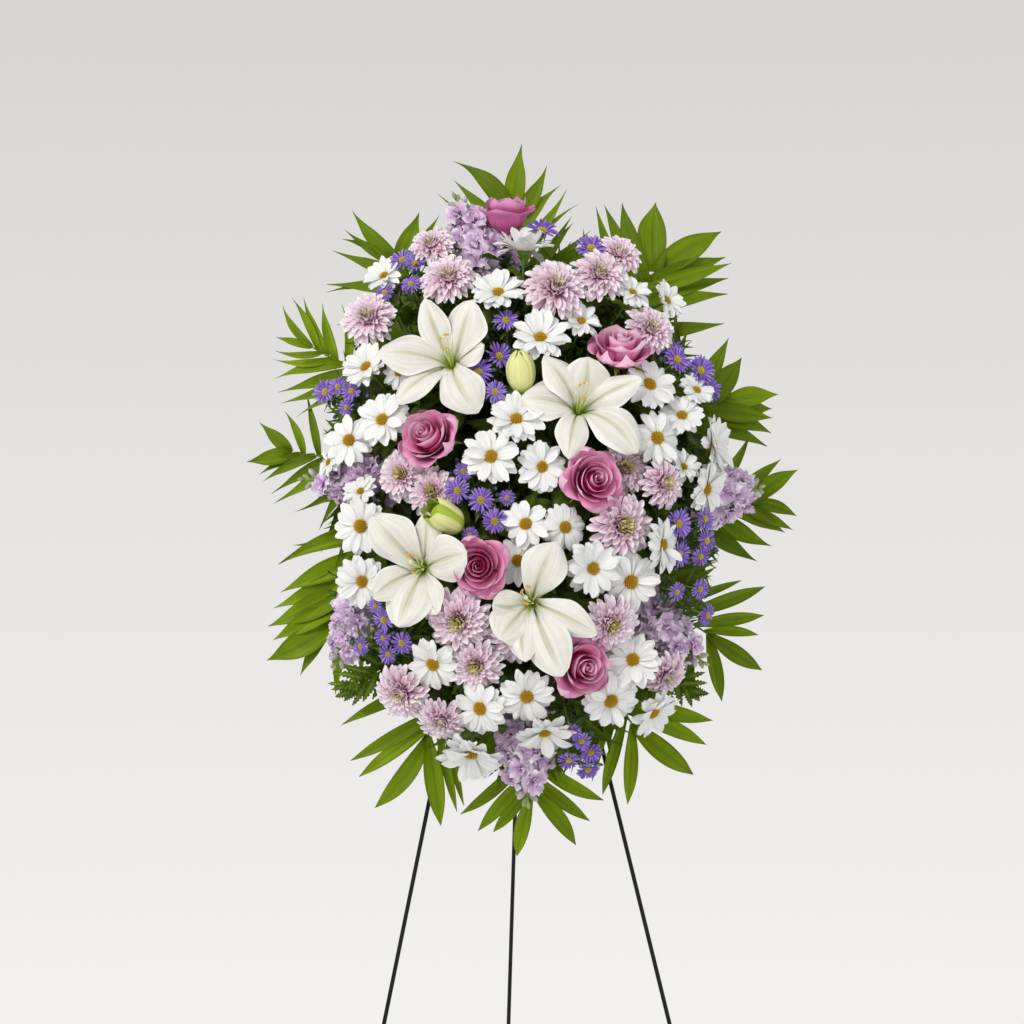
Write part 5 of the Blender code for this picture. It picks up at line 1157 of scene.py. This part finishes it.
def spike(p, own):
    """A stock spike: open florets from the foot up, then buds. The florets turn towards the light in front."""
    rng = p.rng
    a, b = (q + np.array([0, 0, {"stock_left": 0.016, "stock_top": 0.010, "stock_low": 0.010, "stock_low_right": 0.010, "stock_low_left": 0.010}.get(p.node, 0.0)]) for q in own[0].axis)
    w = own[0].r
    axis = unit(b - a)
    total = np.linalg.norm(b - a)
    face = np.array([0, 0, 1.0])
    x = norm(np.cross(axis, face))
    y = norm(np.cross(x, axis))
    p.add(tube(np.array([a - axis * 0.004, a + axis * total * 0.5, b - axis * 0.002]), [0.0032, 0.0026, 0.0012], 8), STEM_PALE, "stem", 0.5)
    count = 20
    for i in range(count):
        t = (i + 0.2) / count
        phi = i * 2.39996
        out = x * cos(phi) + y * (sin(phi) * (1.0 if sin(phi) > 0 else 0.5))
        spot = a + axis * total * (0.0 + 1.0 * t)
        if t < 0.80:
            size = w * (1.34 - 0.52 * t) * rng.uniform(0.80, 1.10)
            reach_ = w * (0.92 - 0.42 * t)
            floret(p, spot + out * reach_, norm(out + axis * (0.1 + 0.7 * t) + y * 0.55), size, rng, t > 0.62)
            p.add(tube(np.array([spot, spot + out * reach_ * 0.95]), [0.0011, 0.0013], 5), STEM_PALE, "stem", 0.3)
        else:
            f = (t - 0.80) / 0.20
            big = w * (0.42 - 0.22 * f)
            way = norm(out + axis * (0.7 + 1.2 * f))
            tip = spot + way * big * 1.3
            fresh = np.linspace(0, 1, 5)[:, None] * np.ones((1, 9)) * (1.0 - 0.9 * f)
            p.add(lathe(tip, way, [(big * 0.12, -big * 1.0), (big * 0.40, -big * 0.6), (big * 0.46, 0.0), (big * 0.30, big * 0.6), (big * 0.03, big * 0.85)], 8), mixed(lin(142, 162, 82), lin(220, 200, 222), fresh), "stem")
            p.add(tube(np.array([spot, tip - way * big * 0.9]), [0.0009, 0.0010], 5), STEM_PALE, "stem", 0.3)


# ---------------------------------------------------------------- stems and their leaves
leaf_plain = shape([(0, 0.12), (0.12, 0.62), (0.35, 1.0), (0.65, 0.82), (0.88, 0.36), (1.0, 0.03)])
leaf_lance = shape([(0, 0.30), (0.15, 0.75), (0.4, 1.0), (0.7, 0.72), (0.9, 0.30), (1.0, 0.03)])


def leaf_lobed(v):
    return leaf_plain(v) * (0.66 + 0.34 * np.abs(np.sin(pi * (3.2 * v + 0.1))))


def in_flower(q):
    """Whether any of these points, rows of a leaf, lies in front of a head's petals."""
    bad = np.zeros(len(q), bool)
    for h in heads:
        if h.flower == "stock":
            continue
        d = q - h.at
        z = norm(h.turn)
        high = d @ z
        far = np.linalg.norm(d - high[..., None] * z, axis=-1) / h.r
        if h.flower == "lily":
            hit = (far < 1.12) & (high > (-0.55 * np.clip(1 - far, 0, 1) - 0.10) * h.r)
        elif h.flower == "bud":
            hit = (far < 0.75) & (high > -1.1 * h.r)
        else:
            hit = (far < 1.05) & (high > -0.14 * h.r)
        bad |= hit.any(axis=1)
    return bad


def foliage(p, path, count, length, half, outline, spread=(0.3, 0.95), tint=LEAF, rows=9, twist=1.0, forward=0.35, skin="leaf"):
    """Leaves along a stem, more of them towards its head."""
    rng = p.rng
    path = np.asarray(path, float)
    steps = np.linalg.norm(np.diff(path, axis=0), axis=1)
    total = np.concatenate([[0], np.cumsum(steps)])
    where = rng.uniform(*spread, count) ** 0.8
    spot = np.array([[np.interp(w * total[-1], total, path[:, i]) for i in range(3)] for w in where])
    seg = np.clip(np.searchsorted(total, where * total[-1]) - 1, 0, len(steps) - 1)
    way = norm(path[seg + 1] - path[seg])
    a = np.arange(count) * 2.39996 + rng.uniform(0, 6)
    x = norm(np.cross(way, [0.2, 0.4, 0.9]))
    y = np.cross(way, x)
    out = x * np.cos(a)[:, None] + y * np.sin(a)[:, None]
    aim = norm(out + way * forward)
    up = norm(way - aim * (way * aim).sum(-1, keepdims=True))
    size = rng.uniform(0.75, 1.15, count)
    grid = blades(spot, aim, up, length * size, half * size, outline, rows, 5, e0=rng.uniform(-0.1, 0.5, count), e1=rng.uniform(-0.9, 0.1, count), fold=rng.uniform(0.1, 0.5, count) * twist, wave=0.25, phase=rng.uniform(0, 6, count), bow=rng.normal(0, 0.03, count))
    grid = grid[~in_flower(grid.reshape(count, -1, 3))]
    count = len(grid)
    if not count:
        return
    v, u = places(rows, 5)
    base = mixed(tint * 0.8, LEAF_LIGHT, (0.35 * np.exp(-((u / 0.3) ** 2)) + 0.15 * rng.random((count, 1, 1))) * np.ones_like(v))
    p.add(grid, base * rng.uniform(0.7, 1.15, (count, 1, 1, 1)), skin)


def stems_of(p, name):
    run = runs[name]
    trunk = [P[i] for i in run["trunk"]]
    first = rounded(trunk, 0.3, 3)
    flower = pieces[name][0].flower
    pale = STEM_PALE if flower in ("stock", "aster") else STEM
    p.add(tube(first, run["trunk_r"], 8), pale * 0.8, "stem", 0.35)
    lines = []
    for h, idx, rad in run["branches"]:
        path = [P[i] for i in idx]
        if h.flower == "stock":
            path[-1] = h.axis[0] + unit(h.axis[1] - h.axis[0]) * 0.004
        line = rounded(path, 0.35, 4)
        p.add(tube(line, np.linspace(rad * 1.05, rad * 0.95, len(line)), 8), pale, "stem", 0.35)
        lines.append(line)
    return first, lines


for name, own in pieces.items():
    p = Piece(name)
    flower = "stock" if own[0].flower == "stock" else name.split("_")[0]
    trunk, lines = stems_of(p, name)
    if flower == "stock":
        spike(p, own)
        foliage(p, lines[0], 14, 0.066, 0.0065, leaf_lance, (0.1, 1.0), lin(70, 108, 56))
        foliage(p, trunk, 9, 0.066, 0.016, leaf_plain, (0.4, 1.0), lin(60, 98, 44))
    elif flower == "rose":
        rose(p, own[0])
        foliage(p, lines[0], 14, 0.048, 0.017, leaf_plain, (0.05, 0.92), lin(58, 80, 30))
        foliage(p, trunk, 9, 0.060, 0.020, leaf_plain, (0.4, 1.0), lin(58, 80, 30))
    elif flower == "lily":
        for h, line in zip(own, lines):
            if h.flower == "lily":
                lily(p, h)
            else:
                lily_bud(p, h, opened=name == "lily_left")
            foliage(p, line, 16, 0.070, 0.0095, leaf_lance, (0.05, 0.95), lin(66, 92, 32))
        foliage(p, trunk, 12, 0.080, 0.013, leaf_lance, (0.4, 1.0), lin(66, 92, 32))
    else:
        draw = {"daisy": daisy, "mum": mum, "aster": aster}[flower]
        for h, line in zip(own, lines):
            draw(p, h)
            if flower == "aster":
                foliage(p, line, 24, 0.026, 0.0032, leaf_lance, (0.05, 0.98), lin(68, 92, 32), 6)
            else:
                foliage(p, line, 13, 0.042, 0.0145, leaf_lobed, (0.05, 0.95), LEAF, 10)
        foliage(p, trunk, 16 if flower != "aster" else 24, 0.074, 0.024, leaf_lobed if flower != "aster" else leaf_plain, (0.40, 1.0), LEAF * 0.85, 10)
        if name == "mum_low_left":  # leaves that close the space between its heads
            points = np.concatenate(lines)
            aims = np.array([seen(440, 695, q[2] - 0.004) for q in points])
            apart = np.linalg.norm(points - aims, axis=1) + 10.0 * (aims[:, 2] > FACE_N + 0.085)
            near_ = np.argmin(apart)
            for turned in (-0.35, 0.0, 0.35):
                way = aims[near_] - points[near_]
                way = way + turned * np.array([way[1], -way[0], 0.0])
                p.add(blades(points[near_][None], way[None], np.array([[0.0, 0.0, 1.0]]), max(0.030, 1.8 * apart[near_]), 0.013, leaf_lobed, 10, 5, e0=0.10, e1=-0.10), LEAF, "leaf")
        if flower == "aster":
            rng = p.rng
            for h, line in zip(own, lines):
                for _ in range(3):
                    start = line[int(len(line) * 0.6)]
                    way = norm(norm(h.at - start) + rng.normal(0, 0.55, 3))
                    tip = start + way * np.linalg.norm(h.at - start) * rng.uniform(0.75, 1.05)
                    tip[2] = min(tip[2], h.at[2] + 0.003)
                    if in_flower(tip[None, None])[0]:
                        continue
                    p.add(tube(rounded([start, (start + tip) / 2 + rng.normal(0, 0.002, 3), tip]), 0.0007, 5), STEM, "stem", 0.3)
                    s = rng.uniform(0.0022, 0.0034)
                    shade = mixed(lin(60, 96, 34), lin(120, 96, 180), np.linspace(0, 1, 5)[:, None] * np.ones((1, 9)) * rng.uniform(0.0, 1.0))
                    p.add(lathe(tip, way, [(s * 0.3, -s), (s * 0.9, -0.3 * s), (s, 0.3 * s), (s * 0.6, 1.1 * s), (s * 0.05, 1.5 * s)], 8), shade, "stem")
    p.build("_bloom")

# ---------------------------------------------------------------- palm fronds
palm_outline = shape([(0, 0.46), (0.07, 0.70), (0.22, 0.96), (0.38, 1.0), (0.56, 0.82), (0.72, 0.45), (0.85, 0.19), (0.94, 0.07), (1.0, 0.01)])


palm_blunt = shape([(0, 0.30), (0.10, 0.50), (0.28, 0.82), (0.48, 1.0), (0.66, 0.92), (0.82, 0.62), (0.93, 0.26), (1.0, 0.02)])
palm_broad = shape([(0, 0.48), (0.10, 0.70), (0.28, 0.92), (0.44, 1.0), (0.60, 0.90), (0.74, 0.62), (0.86, 0.30), (0.94, 0.11), (1.0, 0.01)])
FUSED = {"frond_right_high": 1.40, "frond_upper_right": 1.18, "frond_right": 1.20, "frond_left_low": 1.30, "frond_upper_left": 1.05}


def rachis(layer, foot_at, bend, end):
    n = FOAM_BACK + 0.024 + 0.0046 * layer
    a, m, e = (np.array(seen(*q, n)[:2]) for q in (foot_at, bend, end))
    a = a - unit(m - a) * FROND_DEEP
    return n, lambda x: a * (1 - x) ** 2 + m * 2 * x * (1 - x) + e * x * x


def on_view(q):
    """Where the front elevation shows a point given in the spray's axes."""
    w = np.asarray(q) @ BASIS + ORIGIN
    far = w[..., 1] - (MID.y - SIGHT)
    return GRID_MID[0] + (w[..., 0] - MID.x) / far * SIGHT / GRID, GRID_MID[1] - (w[..., 2] - MID.z) / far * SIGHT / GRID


def inner_leaflets(p, spot, n, last):
    """Leaflets on the lower rachis, behind the flowers and inside their outline."""
    rng = p.rng
    feet, ways, sizes = [], [], []
    for x in np.arange(0.14, last - 0.02, 0.040):
        at = np.array([*spot(x), n])
        along = unit(np.array([*(spot(x + 0.02) - spot(x)), 0.0]))
        for side, low, high in ((-1, 0.45, 0.85), (1, 0.45, 0.85), (-1, 0.95, 1.35), (1, 0.95, 1.35)):
            turn_by = side * rng.uniform(low, high)
            way = np.array([along[0] * cos(turn_by) - along[1] * sin(turn_by), along[0] * sin(turn_by) + along[1] * cos(turn_by), 0.0])
            reach_ = rng.uniform(0.12, 0.18)
            while reach_ > 0.03:
                a, b = on_view(at + way * reach_)
                if ((a - 520) / 206) ** 2 + ((b - 496) / 292) ** 2 < 1.0:
                    break
                reach_ -= 0.006
            if reach_ > 0.035:
                feet.append(at)
                ways.append(way)
                sizes.append(reach_)
    k = len(feet)
    if not k:
        return
    grid = blades(np.array(feet), np.array(ways), np.broadcast_to([0, 0, 1.0], (k, 3)), np.array(sizes), rng.uniform(0.0085, 0.0125, k), palm_outline, 14, 5, e0=rng.uniform(0.15, 0.55, k), e1=rng.uniform(-0.5, 0.0, k), fold=rng.uniform(0.18, 0.42, k), bow=rng.normal(0, 0.03, k), wave=0.10, phase=rng.uniform(0, 6, k))
    v, u = places(14, 5)
    # darker at the leaflet feet: painted shade at the rachis
    tint = mixed(PALM_SHADE, PALM, 0.7 * ease(v, 0.0, 0.3) * np.ones_like(u) * np.ones((k, 1, 1)))
    p.add(grid, tint * rng.uniform(0.8, 1.05, (k, 1, 1, 1)), "palm_blade", 0.6)


for name, layer, foot_at, bend, end, leaflets in FRONDS:
    p = Piece(name)
    rng = p.rng
    n, spot = rachis(layer, foot_at, bend, end)
    xs = np.linspace(0.0, 1.0, 22)
    line = np.array([[*spot(x), n] for x in xs])
    p.add(tube(line, np.interp(xs, [0, 0.3, 1], [0.0021, 0.0020, 0.0011]), 8), mixed(PALM * 0.9, PALM_LIGHT, np.full((22, 9), 0.4)), "stem", 0.5)
    k = len(leaflets)
    base = np.array([[*spot(x), n] for x, _, _ in leaflets])
    tips = np.array([seen(*t, n) for _, t, _ in leaflets])
    blunt = name in ("frond_bottom", "frond_bottom_left", "frond_bottom_right", "frond_right_low")
    half = np.array([w for _, _, w in leaflets]) * GRID * (0.47 if blunt else 0.52 * FUSED.get(name, 1.0))
    way = tips - base
    dist = np.linalg.norm(way, axis=1)
    e0, e1 = rng.uniform(0.10, 0.30, k), rng.uniform(-0.45, -0.10, k)
    if name in ("frond_bottom", "frond_bottom_left", "frond_bottom_right"):
        e0, e1 = e0 + 0.08, e1 - 0.10
    length = dist * (e1 - e0) / (np.sin(e1) - np.sin(e0))
    rows, cols = 26, 7
    bow = rng.normal(0, 0.026 if blunt else 0.045, k)
    grid = blades(base, way, np.broadcast_to([0, 0, 1.0], (k, 3)), length, half, palm_blunt if blunt else palm_broad if name in ("frond_right_high", "frond_upper_right", "frond_right", "frond_left_low") else palm_outline, rows, cols, e0=e0, e1=e1, fold=rng.uniform(0.18, 0.42, k), bow=bow, wave=0.10, phase=rng.uniform(0, 6, k), ribs=0.03)
    v, u = places(rows, cols)
    # painted light: the lower and left fronds are drawn lighter, as if lit, the others darker, as if in shade
    light = 0.85 if name in ("frond_left_low", "frond_left_high") else 0.8 if name in ("frond_bottom_left", "frond_bottom", "frond_bottom_right") else 0.2
    tint = mixed(PALM, PALM_LIGHT, np.clip(light + rng.normal(0, 0.18, (k, 1, 1)), 0, 1) * np.ones_like(v) * np.ones_like(u))
    # darker along each leaflet's middle and at its foot: painted shade in the fold and where the leaflets crowd the
    # rachis
    tint = mixed(tint, PALM_SHADE, (0.30 * np.exp(-((u / 0.14) ** 2)) + 0.45 * (1 - ease(v, 0.0, 0.22))) * np.ones((k, 1, 1)))
    tint = mixed(tint, PALM_EDGE, 0.45 * ease(np.abs(u), 0.80, 1.0) * np.ones_like(v) * np.ones((k, 1, 1)))
    burnt = (rng.random(k) < 0.30)[:, None, None] * ease(v, 0.90, 1.0) * np.ones_like(u)
    tint = mixed(tint, lin(128, 96, 44), burnt * 0.8)
    p.add(grid, tint * rng.uniform(0.88, 1.08, (k, 1, 1, 1)), "palm_blade")
    inner_leaflets(p, spot, n, min(x for x, _, _ in leaflets))
    p.build("_leaves")

# ---------------------------------------------------------------- ferns
def fern_outline(v):
    """A pinna: toothed lobes that shorten towards the tip."""
    return (1 - v) ** 0.75 * (0.42 + 0.58 * np.abs(np.sin(pi * (8.5 * v + 0.15))) ** 0.8) * ease(v, -0.04, 0.05) + 0.012


for name, layer, foot_at, bend, end, leaflets in FERNS:
    p = Piece(name)
    rng = p.rng
    n, spot = rachis(layer, foot_at, bend, end)
    xs = np.linspace(0.0, 1.0, 18)
    line = np.array([[*spot(x), n] for x in xs])
    p.add(tube(line, np.linspace(0.0017, 0.0008, 18), 7), STEM * 0.8, "stem", 0.5)
    fans = [(x, np.array(t, float)) for x, t, _ in leaflets]
    extra = [((a_[0] + b_[0]) / 2, (a_[1] + b_[1]) / 2) for a_, b_ in zip(fans, fans[1:])]
    feet, ways, sizes = [], [], []
    for x, tip in fans + extra:
        base = np.array([*spot(x), n])
        feet.append(base)
        ways.append(np.array(seen(*tip, n)) - base)
        sizes.append(np.linalg.norm(ways[-1]))
    for x in np.arange(0.15, 0.72, 0.045):
        base = np.array([*spot(x), n])
        along = unit(np.array([*(spot(x + 0.02) - spot(x)), 0.0]))
        for side in (-1, 1):
            turn_by = side * rng.uniform(0.8, 1.1)
            feet.append(base)
            ways.append(np.array([along[0] * cos(turn_by) - along[1] * sin(turn_by), along[0] * sin(turn_by) + along[1] * cos(turn_by), rng.uniform(0.0, 0.5)]))
            sizes.append(rng.uniform(0.080, 0.105) * (1 - 0.50 * x))
    k = len(feet)
    rows, cols = 46, 5
    grid = blades(np.array(feet), np.array(ways), np.broadcast_to([0, 0, 1.0], (k, 3)), np.array(sizes), rng.uniform(0.0085, 0.0115, k), fern_outline, rows, cols, e0=rng.uniform(0.1, 0.5, k), e1=rng.uniform(-0.6, 0.0, k), fold=rng.uniform(0.1, 0.3, k), bow=rng.normal(0, 0.03, k), wave=0.12, phase=rng.uniform(0, 6, k))
    v, u = places(rows, cols)
    # paler down each pinna's middle and across its lobes: a painted highlight
    tint = mixed(lin(64, 94, 10), lin(122, 150, 24), (0.8 * np.exp(-((u / 0.25) ** 2)) + 0.2 * np.abs(np.sin(pi * (8.5 * v + 0.15)))) * np.ones((k, 1, 1)))
    p.add(grid, tint * rng.uniform(0.70, 1.35, (k, 1, 1, 1)), "leaf")
    p.build("_leaves")

# ---------------------------------------------------------------- easel
def leg_line(drawn):
    (a, b), low_ = drawn, -MID.z / cos(LEAN) - 0.01
    p0, q0 = seen(*a, 0.0), seen(*b, 0.0)
    slope = (q0[0] - p0[0]) / (q0[1] - p0[1])
    return lambda t: p0[0] + slope * (t - p0[1]), low_, slope


def bent(points, radius, steps=8):
    """The polyline with its inner corners rounded."""
    points = [np.array(q, float) for q in points]
    out = [points[0]]
    for a, b, c in zip(points, points[1:], points[2:]):
        la, lc = np.linalg.norm(a - b), np.linalg.norm(c - b)
        cut = min(radius, la * 0.45, lc * 0.45)
        s, e = b + (a - b) / la * cut, b + (c - b) / lc * cut
        for k in range(steps + 1):
            x = k / steps
            out.append(s * (1 - x) ** 2 + b * 2 * x * (1 - x) + e * x * x)
    return out + [points[-1]]


def thinned(path, longest=0.06):
    """The path with long straight runs divided."""
    out = [path[0]]
    for a, b in zip(path, path[1:]):
        k = max(1, int(np.ceil(np.linalg.norm(b - a) / longest)))
        out += [a + (b - a) * i / k for i in range(1, k + 1)]
    return np.array(out)


def wire(node, path, body="stand", on_floor=False, closed_start=True):
    """A round wire with eased ends, or with its foot cut level on the floor."""
    p = Piece(node)
    path = thinned(path)
    ends = []
    if not on_floor and closed_start:
        d = unit(path[1] - path[0])
        ends = [path[0] + d * WIRE_R * x for x in (0.0, 0.12, 0.45)]
        radii = [0.02, 0.60, 0.92]
    else:
        ends, radii = [path[0]], [1.0]
    d = unit(path[-2] - path[-1])
    finish = [path[-1] + d * WIRE_R * x for x in (0.9, 0.45, 0.12, 0.0)]
    line = np.array(ends + list(path[1:-1]) + finish)
    radius = np.array(radii + [1.0] * (len(path) - 2) + [1.0, 0.92, 0.60, 0.02]) * WIRE_R
    rings = tube(line, radius, 14)
    if on_floor:
        w = rings[0] @ BASIS + ORIGIN
        way = unit((line[1] - line[0]) @ BASIS)
        w = w - way * (w[:, 2] / way[2])[:, None]
        rings[0] = (w - ORIGIN) @ BASIS.T
        middle = rings[0][:-1].mean(0)
        p.add(np.array([np.repeat(middle[None], len(rings[0]), 0), rings[0]]), (0.02, 0.02, 0.02), "wire")
    p.add(rings, (0.02, 0.02, 0.02), "wire")
    return p.build("_wire", body)


left, low, ls = leg_line(LEG_DRAWN[0])
right, low, rs = leg_line(LEG_DRAWN[1])
apex_t = (left(0) - right(0)) / (rs - ls)
apex_s = left(apex_t)
half_gap = WIRE_R + GAP / 2
for node, line, slope, side in (("easel_leg_left", left, ls, -1), ("easel_leg_right", right, rs, 1)):
    turn_t = apex_t - half_gap / abs(slope)
    path = [(line(low), low, 0), (apex_s + side * half_gap, turn_t, 0), (apex_s + side * half_gap, apex_t + APEX_RISE, 0)]
    wire(node, bent(path, 0.02), on_floor=True)
bar_n = -(2 * WIRE_R + GAP)
bar_t = apex_t - TOP_BAR_DROP
wire("easel_top_bar", [np.array([left(bar_t) - 0.008, bar_t, bar_n]), np.array([right(bar_t) + 0.008, bar_t, bar_n])])
hinge = np.array(world(REAR_EYE_S, bar_t, bar_n))
foot = np.array([REAR_FOOT[0], REAR_FOOT[1], 0.0])
eye_r = 2 * WIRE_R + 0.0004
down = unit(np.array([0, foot[1] - hinge[1], foot[2] - hinge[2]]))
back = np.array([0, -down[2], down[1]])
leg = [foot + unit(foot - hinge) * 0.01, hinge + back * eye_r + down * 0.030]
leg += [hinge + (back * cos(radians(9.7 * k)) - down * sin(radians(9.7 * k))) * eye_r for k in range(31)]
wire("easel_leg_rear", [(q - ORIGIN) @ BASIS.T for q in leg], "rear_leg", on_floor=True)
hook_s = (left(CROSS_BAR_T) - 0.006, right(CROSS_BAR_T) + 0.006)
front_n = 2 * WIRE_R + GAP
reach = front_n + HOOK_REACH
path = [(hook_s[0], CROSS_BAR_T + HOOK_RISE, reach), (hook_s[0], CROSS_BAR_T, reach), (hook_s[0], CROSS_BAR_T, front_n), (hook_s[1], CROSS_BAR_T, front_n), (hook_s[1], CROSS_BAR_T, reach), (hook_s[1], CROSS_BAR_T + HOOK_RISE, reach)]
wire("easel_cross_bar", bent(path, 0.009))

# ---------------------------------------------------------------- foam holder
for node, skin in (("holder_tray", "tray"), ("holder_cage", "tray"), ("foam_block", "foam")):
    obj = frame["nodes"][node]
    obj.data.materials.clear()
    obj.data.materials.append(MATERIALS[skin])

# ---------------------------------------------------------------- floor, light and camera
bpy.ops.mesh.primitive_circle_add(vertices=96, radius=2.6, fill_type="NGON", location=(0, 0, 0))
floor = bpy.context.object
floor.name = "floor"
paper = bpy.data.materials.new("floor_paper")
paper.use_nodes = True
nodes_, links_ = paper.node_tree.nodes, paper.node_tree.links
grain = nodes_.new("ShaderNodeTexNoise")
grain.inputs["Scale"].default_value = 3.0
tone = nodes_.new("ShaderNodeValToRGB")
tone.color_ramp.elements[0].color = (0.84, 0.835, 0.83, 1)
tone.color_ramp.elements[1].color = (0.87, 0.865, 0.86, 1)
links_.new(grain.outputs["Fac"], tone.inputs["Fac"])
links_.new(tone.outputs["Color"], nodes_["Principled BSDF"].inputs["Base Color"])
nodes_["Principled BSDF"].inputs["Roughness"].default_value = 0.9
floor.data.materials.append(paper)

sky = bpy.data.worlds.new("studio")
bpy.context.scene.world = sky
sky.use_nodes = True
air = sky.node_tree.nodes["Background"]
way_ = sky.node_tree.nodes.new("ShaderNodeTexCoord")
split = sky.node_tree.nodes.new("ShaderNodeSeparateXYZ")
tall = sky.node_tree.nodes.new("ShaderNodeMapRange")
tall.inputs["From Min"].default_value = -1.0
tall.inputs["From Max"].default_value = 1.0
tone = sky.node_tree.nodes.new("ShaderNodeValToRGB")
tone.color_ramp.elements[0].position = 0.38
tone.color_ramp.elements[0].color = (0.93, 0.92, 0.905, 1)
tone.color_ramp.elements[1].position = 0.70
tone.color_ramp.elements[1].color = (0.52, 0.53, 0.54, 1)
middle_ = tone.color_ramp.elements.new(0.60)
middle_.color = (0.66, 0.65, 0.63, 1)
sky.node_tree.links.new(way_.outputs["Generated"], split.inputs["Vector"])
sky.node_tree.links.new(split.outputs["Z"], tall.inputs["Value"])
sky.node_tree.links.new(tall.outputs["Result"], tone.inputs["Fac"])
sky.node_tree.links.new(tone.outputs["Color"], air.inputs["Color"])
air.inputs["Strength"].default_value = 1.0
bpy.context.scene.view_settings.view_transform = "Standard"


def lamp(name, place, target, size, watts, colour=(1, 1, 1)):
    light = bpy.data.lights.new(name, "AREA")
    light.shape, light.size, light.energy, light.color = "SQUARE", size, watts, colour
    obj = bpy.data.objects.new(name, light)
    bpy.context.scene.collection.objects.link(obj)
    obj.location = place
    obj.rotation_euler = (Vector(target) - Vector(place)).to_track_quat("-Z", "Y").to_euler()
    return obj


lamp("key", (-1.5, -2.5, 3.0), (0, 0, 1.2), 1.1, 49, (1.0, 0.985, 0.965))
lamp("fill", (2.2, -2.4, 1.7), (0, 0, 1.15), 1.8, 8, (0.97, 0.985, 1.0))
lamp("rim", (0.8, 2.2, 2.6), (0, 0, 1.3), 1.4, 22)

camera = bpy.data.cameras.new("camera")
camera.sensor_width = 36.0
camera.lens = 36.0 * SIGHT / (1024 * GRID)
camera.shift_x = (512 - GRID_MID[0]) / 1024
camera.clip_end = 100
eye = bpy.data.objects.new("camera", camera)
bpy.context.scene.collection.objects.link(eye)
eye.location = (MID.x, MID.y - SIGHT, MID.z)
eye.rotation_euler = (pi / 2, 0, 0)
bpy.context.scene.camera = eye
